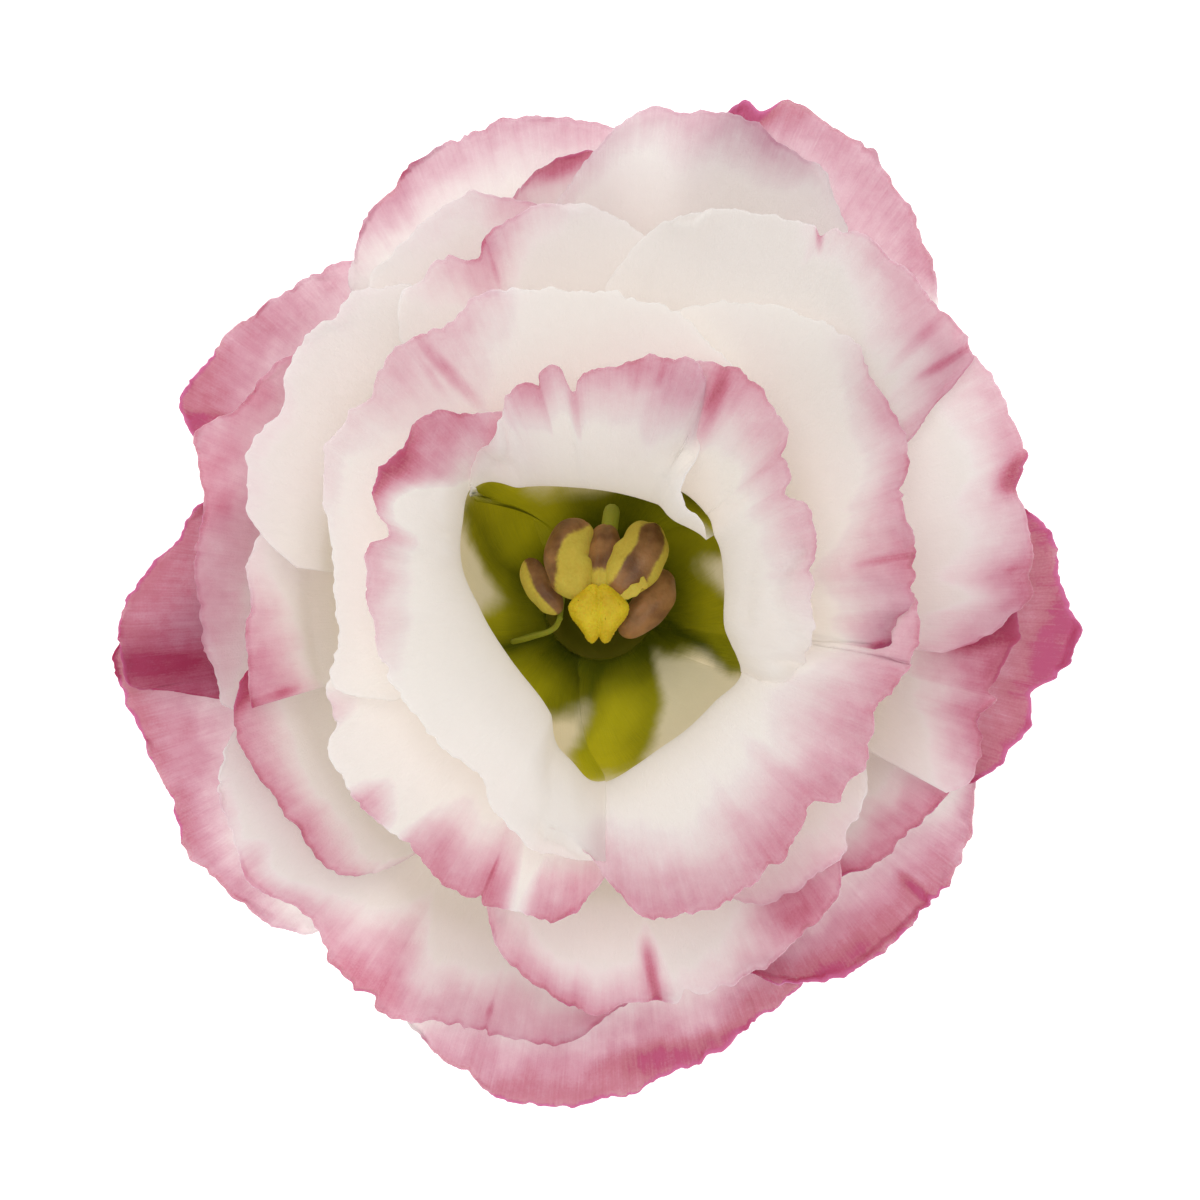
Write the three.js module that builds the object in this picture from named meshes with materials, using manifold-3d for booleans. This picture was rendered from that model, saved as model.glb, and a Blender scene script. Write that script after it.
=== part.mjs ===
// A double lisianthus bloom, cut close under its calyx and lying face up.
// Millimetres, +Z up. The origin is the middle of the cut face of the stem, on the surface the bloom lies on.
import * as THREE from 'three';
import Module from 'manifold-3d';
import { mergeVertices } from 'three/addons/utils/BufferGeometryUtils.js';

const wasm = await Module();
wasm.setup();

// ---- driving dimensions --------------------------------------------------------------------

const PETAL_THICKNESS = 0.7;
const LAYERS = 11; // from the innermost petals, layer 0, to the outermost
const COLUMN_WIDTH = 3.8; // along a petal's rim, between two columns of its mesh
const ROWS = [0, 0.13, 0.25, 0.37, 0.5, 0.62, 0.74, 0.87, 1]; // of the mesh, from a petal's foot to its rim
const LOWEST_RIM = 0.4; // the station at which a petal's outer corner may lie, down in the throat
const RIM_STEP = 0.002; // in stations, by which a rim's place is found
const SWELL_HEIGHT = 1.1; // of the waves that run through all the petals alike
const FRILL_HEIGHT = 0.6; // by which every other point of a rim stands up

// The petals stand on the receptacle in rings, on narrow feet, their claws. A ring holds the petals of three
// layers side by side, so its claws start at one radius, and part into their layers higher up.
const LAYERS_PER_RING = 3;
const CLAW_WIDTH = [3.2, 2.4, 2.3, 2.1]; // by ring, where a petal gives no width of its own
const LAYERS_PART = [0.02, 0.21]; // the stations between which a petal moves to its own layer
const CLAW_WIDENS = [0.18, 0.46]; // the stations between which a claw widens to the whole petal

// The side view of the innermost and the outermost petal: radius and height at each station up the petal.
// `lip` tells how far a station follows the outline of the throat.
const STATIONS = [
  { at: 0.0, inner: [4.0, 7.0], outer: [7.4, 4.2], lip: 0 },
  { at: 0.15, inner: [6.6, 11.6], outer: [14.2, 6.8], lip: 0 },
  { at: 0.32, inner: [10.4, 18.8], outer: [22.4, 10.8], lip: 0.2 },
  { at: 0.5, inner: [11.6, 27.0], outer: [28.0, 14.6], lip: 0.6 },
  { at: 0.66, inner: [10.2, 34.6], outer: [31.4, 17.4], lip: 1 },
  { at: 0.78, inner: [12.9, 39.2], outer: [34.6, 19.2], lip: 0.7 },
  { at: 0.9, inner: [18.2, 40.8], outer: [37.8, 20.4], lip: 0 },
  { at: 1.0, inner: [23.0, 40.2], outer: [40.4, 20.8], lip: 0 },
  { at: 1.12, inner: [28.6, 38.0], outer: [43.6, 20.4], lip: 0 },
];

// The throat's outline: azimuth in degrees, radius of the lip.
const THROAT_MEAN = 10.2;
const THROAT = [
  [-60, 11.4], [-40, 11.2], [-26, 11.6], [-10, 9.6], [10, 9.5], [30, 9.9], [55, 8.9], [80, 8.6],
  [104, 9.2], [124, 10.8], [137, 12.6], [150, 11.9], [163, 10.9], [182, 9.0], [210, 7.9], [238, 8.4],
  [258, 10.7], [268, 12.4], [284, 11.7], [300, 11.4],
];

// Every petal: its layer (one number, or [azimuth, layer] along the petal), the azimuth of its claw,
// and its rim as [azimuth, radius] from end to end.
const PETALS = {
  petal_1_top: {
    layer: 0,
    claw: 88,
    rim: [[58, 14], [64, 18.6], [67, 19.5], [74, 19.3], [83, 18.4], [92, 17.8], [97, 16.2], [101, 17.9],
      [108, 17.6], [114, 17.5], [118, 16.2], [122, 13]],
  },
  petal_1_right: {
    layer: [[40, 0.1], [60, 1.1]],
    claw: 20,
    clawWidth: 5,
    rim: [[-31, 12.8], [-24, 15], [-8, 15.8], [9, 16.1], [15, 16.9], [24, 17.4], [29, 16.5], [33, 17.4],
      [40, 18], [47, 19.8], [56, 20.4], [65, 20.1], [74, 18.6], [82, 14]],
  },
  petal_1_left: {
    layer: [[124, 1.1], [150, 0.2], [188, 0.2], [207, 1.2]],
    claw: 195,
    clawWidth: 5,
    rim: [[108, 13], [114, 16.4], [122, 17], [128, 18.6], [134, 19.5], [142, 19], [149, 19.7], [155, 18.7],
      [161, 16.8], [167, 18], [180, 17.5], [192, 17], [208, 16.4], [224, 16.4], [240, 16], [254, 14.6],
      [262, 12.6]],
  },
  petal_1_bottom: {
    layer: [[215, 0], [320, 0], [330, 1.2], [339, 2.7], [347, 4]],
    claw: 280,
    clawWidth: 6.4,
    rim: [[214, 13], [221, 16], [232, 15.8], [244, 17.6], [256, 18.8], [269, 19.3], [275, 22.6], [282, 24.3],
      [293, 24.3], [303, 23.5], [310, 23.2], [315, 22.1], [321, 23.3], [330, 23.3], [337, 22.3], [347, 23.2],
      [355, 24], [361, 24], [366, 21]],
  },
  petal_2_left: {
    layer: 2,
    claw: 137,
    rim: [[54, 18], [60, 20.5], [66, 22], [73, 23.2], [82, 23.6], [96, 23.6], [108, 23.8], [113, 24.6],
      [125, 24.4], [131, 24.5], [140, 23.6], [151, 23.7], [161, 21.8], [171, 20.6], [182, 20.4], [188, 19.8],
      [194, 21.2], [200, 20.4], [205, 17]],
  },
  petal_2_right: {
    layer: [[-8, 2.6], [12, 3]],
    claw: 34,
    rim: [[-11, 18], [-8, 20.8], [-5, 22.6], [4, 23.9], [12, 24.2], [17, 24.1], [22, 25.1], [30, 26.3],
      [38, 26.5], [47, 27.2], [56, 26.4], [66, 24.4], [75, 23], [82, 20]],
  },
  petal_2_low_left: {
    layer: 3,
    claw: 235,
    rim: [[190, 18], [196, 21.4], [203, 21.8], [211, 23.2], [222, 23.4], [232, 23.3], [240, 24], [247, 24],
      [256, 24], [264, 23.4], [270, 21], [276, 18]],
  },
  petal_3_top_right: {
    layer: 4,
    claw: 68,
    rim: [[26, 24], [31, 29], [35, 33.2], [39, 34], [47, 34.4], [56, 33.7], [60, 32.6], [67, 31.9],
      [74, 30.8], [80, 28.9], [84, 27.4], [89, 24]],
  },
  petal_3_top_left: {
    layer: 5,
    claw: 106,
    rim: [[76, 24], [82, 27.6], [86, 28.9], [94, 30.3], [101, 30], [106, 29.3], [111, 27.8], [117, 28.4],
      [122, 27.6], [127, 25]],
  },
  petal_3_behind_top_left: {
    layer: 7,
    claw: 113,
    rim: [[93, 27], [98, 30.4], [104, 31.8], [109, 32.4], [114, 31.9], [120, 30.7], [126, 29.8], [131, 26]],
  },
  petal_3_upper_left: {
    layer: 6,
    claw: 148,
    rim: [[116, 25], [121, 28.2], [127, 29.4], [134, 29.6], [142, 29.4], [149, 28.3], [156, 28.8], [162, 28],
      [168, 26.4], [173, 23]],
  },
  petal_3_left: {
    layer: 7,
    claw: 182,
    rim: [[156, 22], [162, 25.4], [168, 26.4], [174, 26.8], [182, 26.6], [190, 27], [197, 26.8], [202, 23]],
  },
  petal_3_lower_left: {
    layer: 8,
    claw: 211,
    rim: [[184, 23], [190, 26.8], [194, 28.5], [201, 29], [208, 28.5], [216, 28.3], [224, 28.6], [229, 27],
      [234, 23]],
  },
  petal_3_bottom_left: {
    layer: 9,
    claw: 238,
    rim: [[196, 26], [200, 30], [205, 31.6], [211, 32.6], [217, 33.4], [222, 32.5], [228, 32.6], [234, 33.4],
      [240, 34.4], [245, 34.4], [251, 33.4], [258, 33.2], [264, 33], [270, 31.4], [275, 29.6], [280, 26]],
  },
  petal_3_bottom: {
    layer: 6,
    claw: 282,
    rim: [[249, 24], [254, 27], [260, 29], [267, 30.4], [273, 30.8], [280, 30], [287, 30.2], [294, 30.1],
      [301, 29.6], [308, 28.6], [313, 26.6], [317, 23]],
  },
  petal_3_low_right_small: {
    layer: 5,
    claw: 315,
    rim: [[292, 23], [298, 25.6], [305, 26.2], [311, 26.5], [316, 25.4], [321, 25], [326, 23.8], [332, 21]],
  },
  petal_3_low_right: {
    layer: 7.4,
    claw: 312,
    rim: [[301, 23], [306, 26.4], [312, 27.6], [318, 28.5], [324, 28.9], [329, 30], [334, 29.6], [339, 28],
      [343, 24]],
  },
  petal_3_right_lower: {
    layer: 6.4,
    claw: -21,
    rim: [[-38, 25], [-33, 28.6], [-27, 30.6], [-21, 30.5], [-16, 29.7], [-10, 30], [-4, 31.6], [2, 31],
      [7, 27]],
  },
  petal_3_right_upper: {
    layer: [[0, 5.3], [20, 5]],
    claw: 2,
    rim: [[-8, 26], [-3, 30], [1, 32.2], [7, 32.6], [13, 32.7], [17, 32.4], [20, 34], [28, 34.2],
      [34, 33.8], [40, 32], [46, 28]],
  },
  petal_4_left_strip: {
    layer: 9,
    claw: 162,
    rim: [[132, 26], [138, 29.4], [145, 30.2], [151, 31], [157, 33.2], [162, 31.6], [168, 30.8], [176, 30.4],
      [184, 30.1], [189, 29], [193, 26]],
  },
  petal_4_behind_top: {
    layer: 9,
    claw: 88,
    rim: [[82, 29], [86, 32.6], [91, 34.1], [96, 33.4], [101, 32], [107, 28]],
  },
  petal_5_top: {
    layer: 8,
    claw: 78,
    rim: [[50, 29], [56, 33.6], [61, 35.8], [68, 37.2], [75, 38.2], [83, 37.6], [88, 36], [92, 33],
      [96, 30.4], [100, 27]],
  },
  petal_5_top_right: {
    layer: 9,
    claw: 56,
    rim: [[36, 29], [41, 33.2], [46, 35.6], [52, 37.6], [58, 39.2], [64, 40.1], [70, 40.2], [75, 38.6],
      [79, 34]],
  },
  petal_5_top_left: {
    layer: 10,
    claw: 115,
    rim: [[80, 31], [86, 35.6], [94, 36.6], [102, 37], [108, 36.6], [114, 35.6], [120, 34.2], [126, 32],
      [132, 27]],
  },
  petal_5_upper_left: {
    layer: 11,
    claw: 141,
    rim: [[120, 28], [126, 31.6], [133, 33.2], [140, 34], [146, 34.5], [151, 35.3], [155, 34.6], [159, 32],
      [164, 27]],
  },
  petal_5_left: {
    layer: 10,
    claw: 189,
    rim: [[161, 27], [166, 31], [171, 32.4], [177, 34.6], [183, 36], [189, 36.3], [193, 33.6], [198, 28]],
  },
  petal_5_lower_left: {
    layer: 11,
    claw: 214,
    rim: [[178, 31], [183, 35.6], [188, 37.2], [195, 36], [203, 35.4], [211, 36.2], [218, 35.2], [225, 34],
      [231, 31], [236, 27]],
  },
  petal_5_bottom: {
    layer: 10.4,
    claw: 270,
    rim: [[236, 29], [242, 33], [249, 35.6], [256, 37.2], [263, 38], [271, 37.4], [278, 36.2], [286, 34.4],
      [294, 32.8], [301, 31], [307, 27]],
  },
  petal_5_low_right: {
    layer: 9.4,
    claw: -42,
    rim: [[-72, 27], [-66, 31], [-60, 32.4], [-51, 33.2], [-43, 32.9], [-36, 33], [-30, 32.4], [-24, 31],
      [-18, 27]],
  },
  petal_5_right: {
    layer: 8.4,
    claw: 8,
    rim: [[-33, 26], [-28, 29.6], [-21, 32.6], [-14, 33.6], [-10, 33.4], [-5, 35.6], [1, 35.4], [7, 34.6],
      [13, 32.8], [19, 28]],
  },
};

// Every stamen: the middle of its anther, the anther's length and the way it points, seen from above,
// and the azimuth of the filament's foot.
const STAMENS = [
  { anther: [-4.2, 1.2, 20.4], long: 4.8, turn: 124, foot: 168 },
  { anther: [-2.2, 3.6, 23.2], long: 5.4, turn: 68, foot: 118 },
  { anther: [0.5, 4.5, 20.8], long: 4.4, turn: 90, foot: 80 },
  { anther: [3.1, 3.2, 23.2], long: 5.4, turn: 62, foot: 38 },
  { anther: [3.5, -0.6, 21.0], long: 5.0, turn: 50, foot: -16 },
];

const ANTHER_LOBE = 1.6; // width and height of each of an anther's two lobes
const ANTHER_LOBE_OFFSET = 0.6; // from the anther's middle to the middle of a lobe
const FILAMENT_RADIUS = 0.4;
const FILAMENT_FOOT = [2.9, 6.9]; // radius on the receptacle and height
const FILAMENT_BEND_HEIGHT = 13;

const OVARY_SIDE = [[0, 7], [1.5, 7], [1.95, 9.5], [1.9, 13], [1.1, 15.6], [0, 16]];
const STYLE_RADIUS = 0.7;
const STYLE_PATH = [[0, 0, 15], [0, -0.1, 19], [0, -0.5, 22.5], [0, -0.6, 25.4]];
const STIGMA_LOBE = [2.7, 4.6, 1.7]; // width, length and thickness of each of its two lobes
const STIGMA_LOBE_OFFSET = 1.05;
const STIGMA_SPLAY = 8; // degrees by which each lobe turns outwards
const STIGMA_HEIGHT = 25.5;

// Radius and height, from the cut face of the stem out to the brim and up over the top.
const RECEPTACLE_SIDE = [[0, 0], [2.1, 0], [2.2, 1.0], [4.6, 1.7], [7.2, 2.2], [7.9, 2.7], [7.2, 3.4],
  [6.2, 4.2], [4.6, 5.4], [3.2, 6.1], [0, 6.4]];
const SEPAL_AZIMUTHS = [22, 92, 166, 236, 308];
const SEPAL_THICKNESS = 0.8;
const SEPAL_KEEL = 0.4; // how steeply a sepal's two halves rise from its midrib
const SEPAL_ROWS = 7;
// Along a sepal, from its root in the receptacle to its tip: radius, height and half its width.
const SEPAL_SIDE = [
  { at: 0, radius: 4.6, height: 2.6, half: 1.05 },
  { at: 0.25, radius: 7.8, height: 2.6, half: 1.3 },
  { at: 0.5, radius: 10.8, height: 1.3, half: 1.2 },
  { at: 0.7, radius: 13.4, height: 0.7, half: 1.0 },
  { at: 0.85, radius: 15.6, height: 1.0, half: 0.7 },
  { at: 1, radius: 18.2, height: 2.6, half: 0.4 },
];

// ---- small helpers -------------------------------------------------------------------------

const radians = THREE.MathUtils.degToRad;
const mix = THREE.MathUtils.lerp;
const smooth = (x, [from, to]) => THREE.MathUtils.smoothstep(x, from, to);

// A smooth value through [x, value] points, flat outside them.
function through(points, x) {
  if (x <= points[0][0]) return points[0][1];
  const last = points.length - 1;
  if (x >= points[last][0]) return points[last][1];
  let i = 0;
  while (points[i + 1][0] < x) i += 1;
  const [p, q] = [points[i], points[i + 1]];
  const before = points[Math.max(i - 1, 0)];
  const after = points[Math.min(i + 2, last)];
  const width = q[0] - p[0];
  const inSlope = ((q[1] - before[1]) / (q[0] - before[0])) * width;
  const outSlope = ((after[1] - p[1]) / (after[0] - p[0])) * width;
  const t = (x - p[0]) / width;
  return p[1] * (1 + 2 * t) * (1 - t) ** 2 + inSlope * t * (1 - t) ** 2
    + q[1] * (3 - 2 * t) * t ** 2 - outSlope * t ** 2 * (1 - t);
}

// Only the positions of a geometry, so that its shared vertices can be merged.
function bare(geometry) {
  geometry.deleteAttribute('normal');
  geometry.deleteAttribute('uv');
  return geometry;
}

// A closed body turned round the Z axis from [radius, height] points.
function turned(outline, segments) {
  const points = outline.map(([radius, height]) => new THREE.Vector2(radius, height));
  return bare(new THREE.LatheGeometry(points, segments).rotateX(Math.PI / 2));
}

// A closed rod along a smooth curve through the points.
function rod(points, radius, steps, sides) {
  const curve = new THREE.CatmullRomCurve3(points.map((p) => new THREE.Vector3(...p)));
  const section = new THREE.Shape(Array.from({ length: sides }, (_, k) => {
    const turn = (2 * Math.PI * k) / sides;
    return new THREE.Vector2(radius * Math.cos(turn), radius * Math.sin(turn));
  }));
  return bare(new THREE.ExtrudeGeometry(section, { extrudePath: curve, steps }));
}

// A long rounded lobe, its length turned to an azimuth.
function lobe([width, length, height], azimuth, [x, y, z]) {
  return bare(new THREE.SphereGeometry(0.5, 6, 5))
    .scale(length, width, height)
    .rotateZ(radians(azimuth))
    .translate(x, y, z);
}

function solid(geometry) {
  const merged = mergeVertices(geometry, 1e-4);
  return new wasm.Manifold(new wasm.Mesh({
    numProp: 3,
    vertProperties: merged.attributes.position.array,
    triVerts: new Uint32Array(merged.index.array),
  }));
}

function joined(parts) {
  const whole = parts.map(solid).reduce((a, b) => a.add(b)).getMesh();
  const geometry = new THREE.BufferGeometry();
  geometry.setAttribute('position', new THREE.BufferAttribute(whole.vertProperties, whole.numProp));
  geometry.setIndex(new THREE.BufferAttribute(whole.triVerts, 1));
  return geometry;
}

// A closed sheet of even thickness round the surface that place(column, row) gives, both counted from 0.
// Its two faces are split into the same triangles.
function blade(columns, rows, thickness, place) {
  const points = [];
  for (let i = 0; i <= columns; i += 1) {
    for (let j = 0; j <= rows; j += 1) points.push(place(i, j));
  }
  const at = (i, j) => i * (rows + 1) + j;
  const faces = [];
  for (let i = 0; i < columns; i += 1) {
    for (let j = 0; j < rows; j += 1) {
      faces.push([at(i, j), at(i, j + 1), at(i + 1, j + 1)], [at(i, j), at(i + 1, j + 1), at(i + 1, j)]);
    }
  }
  const middle = new THREE.BufferGeometry().setFromPoints(points).setIndex(faces.flat());
  middle.computeVertexNormals();
  const normals = middle.attributes.normal;
  const face = (up) => points.map((p, k) => new THREE.Vector3()
    .fromBufferAttribute(normals, k)
    .multiplyScalar((up * thickness) / 2)
    .add(p));
  const count = points.length;
  const edge = [];
  for (let i = 0; i < columns; i += 1) {
    edge.push([at(i, rows), at(i + 1, rows)], [at(i + 1, 0), at(i, 0)]);
  }
  for (let j = 0; j < rows; j += 1) {
    edge.push([at(0, j), at(0, j + 1)], [at(columns, j + 1), at(columns, j)]);
  }
  const all = [
    ...faces.flat(),
    ...faces.flatMap(([a, b, c]) => [a + count, c + count, b + count]),
    ...edge.flatMap(([a, b]) => [b, a, a + count, b, a + count, b + count]),
  ];
  return new THREE.BufferGeometry().setFromPoints([...face(1), ...face(-1)]).setIndex(all);
}

// ---- petals --------------------------------------------------------------------------------

const [THROAT_START] = THROAT[0];
const pastStart = (azimuth) => THREE.MathUtils.euclideanModulo(azimuth - THROAT_START, 360);
const lipAt = (azimuth) => through(THROAT, THROAT_START + pastStart(azimuth));

// Radius and height of a petal of one layer, at a station and an azimuth. The layers nest without meeting.
function meridian(station, layer, azimuth) {
  const depth = layer / LAYERS;
  const throat = (1 - depth) * (lipAt(azimuth) - THROAT_MEAN);
  const radii = STATIONS.map(({ at, inner, outer, lip }) => (
    [at, mix(inner[0], outer[0], depth) + lip * throat]
  ));
  const heights = STATIONS.map(({ at, inner, outer }) => [at, mix(inner[1], outer[1], depth)]);
  return [through(radii, station), through(heights, station)];
}

// The highest station at which a layer is within a radius.
function stationAt(radius, layer, azimuth) {
  let station = STATIONS[STATIONS.length - 1].at;
  while (station > LOWEST_RIM && meridian(station, layer, azimuth)[0] > radius) station -= RIM_STEP;
  return station;
}

// Long waves that all petals share, so that none of them meets the next.
function swell(azimuth, radius) {
  const turn = radians(azimuth);
  const wave = 0.6 * Math.sin(7 * turn + 0.6) + 0.4 * Math.sin(11 * turn + 0.15 * radius);
  return SWELL_HEIGHT * smooth(radius, [13, 32]) * wave;
}

function petal({ layer, claw, clawWidth, rim }) {
  const layerAt = (azimuth) => (Array.isArray(layer) ? through(layer, azimuth) : layer);
  const middle = rim[Math.floor(rim.length / 2)][0];
  const ring = Math.max(0, Math.floor(layerAt(middle) / LAYERS_PER_RING));
  const footLayer = LAYERS_PER_RING * ring + 1;
  const [footRadius] = meridian(0, footLayer, claw);
  const clawTurn = THREE.MathUtils.radToDeg((clawWidth ?? CLAW_WIDTH[ring]) / footRadius);

  // the columns of the mesh are evenly spaced along the rim
  let length = 0;
  const run = rim.map(([azimuth, radius], i) => {
    const [azimuthBefore, radiusBefore] = rim[Math.max(i - 1, 0)];
    length += Math.hypot(radians(azimuth - azimuthBefore) * radius, radius - radiusBefore);
    return length;
  });
  const columns = Math.round(length / COLUMN_WIDTH);
  const azimuths = rim.map(([azimuth], i) => [run[i], azimuth]);
  const radii = rim.map(([, radius], i) => [run[i], radius]);

  return blade(columns, ROWS.length - 1, PETAL_THICKNESS, (i, j) => {
    const across = i / columns;
    const azimuth = through(azimuths, length * across);
    const end = stationAt(through(radii, length * across), layerAt(azimuth), azimuth);
    const station = end * ROWS[j];
    const here = mix(claw + (across - 0.5) * clawTurn, azimuth, smooth(station, CLAW_WIDENS));
    const layerHere = mix(footLayer, layerAt(here), smooth(station, LAYERS_PART));
    const [radius, height] = meridian(station, layerHere, here);
    const frilled = ROWS[j] === 1 && i > 1 && i < columns - 1;
    const frill = frilled ? FRILL_HEIGHT * (i % 2) : 0;
    const turn = radians(here);
    return new THREE.Vector3(
      radius * Math.cos(turn),
      radius * Math.sin(turn),
      height + swell(here, radius) + frill,
    );
  });
}

// ---- calyx: the cut stub of the stem, the receptacle and five narrow sepals, grown as one ----

// A sepal arches out and touches the surface with its midrib.
function sepal(azimuth) {
  const along = (key, v) => through(SEPAL_SIDE.map((point) => [point.at, point[key]]), v);
  const geometry = blade(2, SEPAL_ROWS, SEPAL_THICKNESS, (i, j) => {
    const v = j / SEPAL_ROWS;
    const across = (i - 1) * along('half', v);
    return new THREE.Vector3(along('radius', v), across, along('height', v) + SEPAL_KEEL * Math.abs(across));
  });
  geometry.computeBoundingBox();
  return geometry.translate(0, 0, -geometry.boundingBox.min.z).rotateZ(radians(azimuth));
}

function calyx() {
  return joined([turned(RECEPTACLE_SIDE, 14), ...SEPAL_AZIMUTHS.map(sepal)]);
}

// ---- stamens and pistil ----------------------------------------------------------------------

function stamen({ anther, long, turn, foot }) {
  const [x, y, z] = anther;
  const across = radians(turn + 90);
  const lobes = [-ANTHER_LOBE_OFFSET, ANTHER_LOBE_OFFSET].map((off) => {
    const middle = [x + off * Math.cos(across), y + off * Math.sin(across), z];
    return lobe([ANTHER_LOBE, long, ANTHER_LOBE], turn, middle);
  });
  const [footRadius, footHeight] = FILAMENT_FOOT;
  const footX = footRadius * Math.cos(radians(foot));
  const footY = footRadius * Math.sin(radians(foot));
  const path = [[footX, footY, footHeight], [footX, footY, FILAMENT_BEND_HEIGHT], anther];
  return joined([...lobes, rod(path, FILAMENT_RADIUS, 6, 6)]);
}

function pistil() {
  const [, styleY] = STYLE_PATH[STYLE_PATH.length - 1];
  const lobes = [-1, 1].map((way) => (
    lobe(STIGMA_LOBE, 90 - way * STIGMA_SPLAY, [way * STIGMA_LOBE_OFFSET, styleY, STIGMA_HEIGHT])
  ));
  return joined([turned(OVARY_SIDE, 10), rod(STYLE_PATH, STYLE_RADIUS, 4, 8), ...lobes]);
}

// ---- the bloom -------------------------------------------------------------------------------

const finish = (color, roughness) => new THREE.MeshStandardMaterial({
  color, roughness, metalness: 0, flatShading: true,
});
const PETAL = finish('#f3e6e6', 0.6);
const OUTER_PETAL = finish('#e3b3c4', 0.6);
const GREEN = finish('#7f9a3c', 0.65);
const POLLEN = finish('#c9a93a', 0.8);
const STIGMA = finish('#d3bd20', 0.6);

const bloom = new THREE.Group();
function add(name, geometry, material) {
  const mesh = new THREE.Mesh(geometry, material);
  mesh.name = name;
  bloom.add(mesh);
}

for (const [name, shape] of Object.entries(PETALS)) {
  add(name, petal(shape), name.startsWith('petal_5') ? OUTER_PETAL : PETAL);
}
add('calyx', calyx(), GREEN);
STAMENS.forEach((shape, k) => add(`stamen_${k + 1}`, stamen(shape), POLLEN));
add('pistil', pistil(), STIGMA);

export default bloom;
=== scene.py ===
import bpy
import numpy as np
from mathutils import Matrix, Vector
from mathutils.bvhtree import BVHTree


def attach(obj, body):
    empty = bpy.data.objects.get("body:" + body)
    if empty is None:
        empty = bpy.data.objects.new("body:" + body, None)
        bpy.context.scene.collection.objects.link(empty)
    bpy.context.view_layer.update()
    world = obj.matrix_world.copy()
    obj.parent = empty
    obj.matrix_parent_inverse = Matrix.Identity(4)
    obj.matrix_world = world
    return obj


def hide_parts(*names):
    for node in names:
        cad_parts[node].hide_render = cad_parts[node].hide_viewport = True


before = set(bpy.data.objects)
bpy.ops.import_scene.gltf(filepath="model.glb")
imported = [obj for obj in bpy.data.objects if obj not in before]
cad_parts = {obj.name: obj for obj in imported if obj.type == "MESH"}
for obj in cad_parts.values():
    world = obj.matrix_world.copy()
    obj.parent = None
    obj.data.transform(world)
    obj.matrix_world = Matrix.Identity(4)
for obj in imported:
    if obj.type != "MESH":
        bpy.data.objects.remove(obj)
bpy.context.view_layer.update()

# ---- Calyx ------------------------------------------------------------------------------------
# The stub of the stem, cut straight, the receptacle that every petal stands on, and five narrow
# green sepals. They grew as one piece, soft, matt and a little waxy.
MM = 0.001
# The side view of the stem and the receptacle, from below: radius and height.
STEM_AND_RECEPTACLE = [(2.1, 0.0), (2.12, 0.5), (2.3, 1.0), (3.4, 1.4), (4.6, 1.7), (6.2, 1.95),
                       (7.2, 2.2), (7.75, 2.5), (7.75, 2.85), (7.2, 3.4), (6.2, 4.2), (4.6, 5.4),
                       (3.2, 6.1), (1.6, 6.35)]
STEM_SIDES = 60
STEM_RIPPLE = 0.02
SEPAL_AZIMUTHS = (22, 92, 166, 236, 308)
SEPAL_CELLS = (14, 46)
SEPAL_THICKNESS = 0.55
SEPAL_KEEL = 0.4
SEPAL_WAVE = 0.12
SEPAL_BEND = 5
# Along a sepal, from its root in the receptacle to its tip: radius, height and half its width.
SEPAL_RADIUS = [(0, 4.6), (0.25, 7.8), (0.5, 10.8), (0.7, 13.4), (0.85, 15.6), (1, 18.0)]
SEPAL_HEIGHT = [(0, 2.7), (0.25, 2.7), (0.5, 1.45), (0.7, 0.62), (0.85, 1.0), (1, 2.5)]
SEPAL_HALF = [(0, 1.0), (0.25, 1.25), (0.5, 1.2), (0.7, 0.95), (0.85, 0.6), (1, 0.06)]
# The outside of the calyx ends and the floor of the throat begins between these heights, in metres.
THROAT_FLOOR = (0.0034, 0.005)


def plug(inputs, values):
    """Gives sockets their plain values, or their links."""
    for key, value in values.items():
        if isinstance(value, Socket):
            value.tree.links.new(value.out, inputs[key])
        else:
            inputs[key].default_value = value


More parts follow.
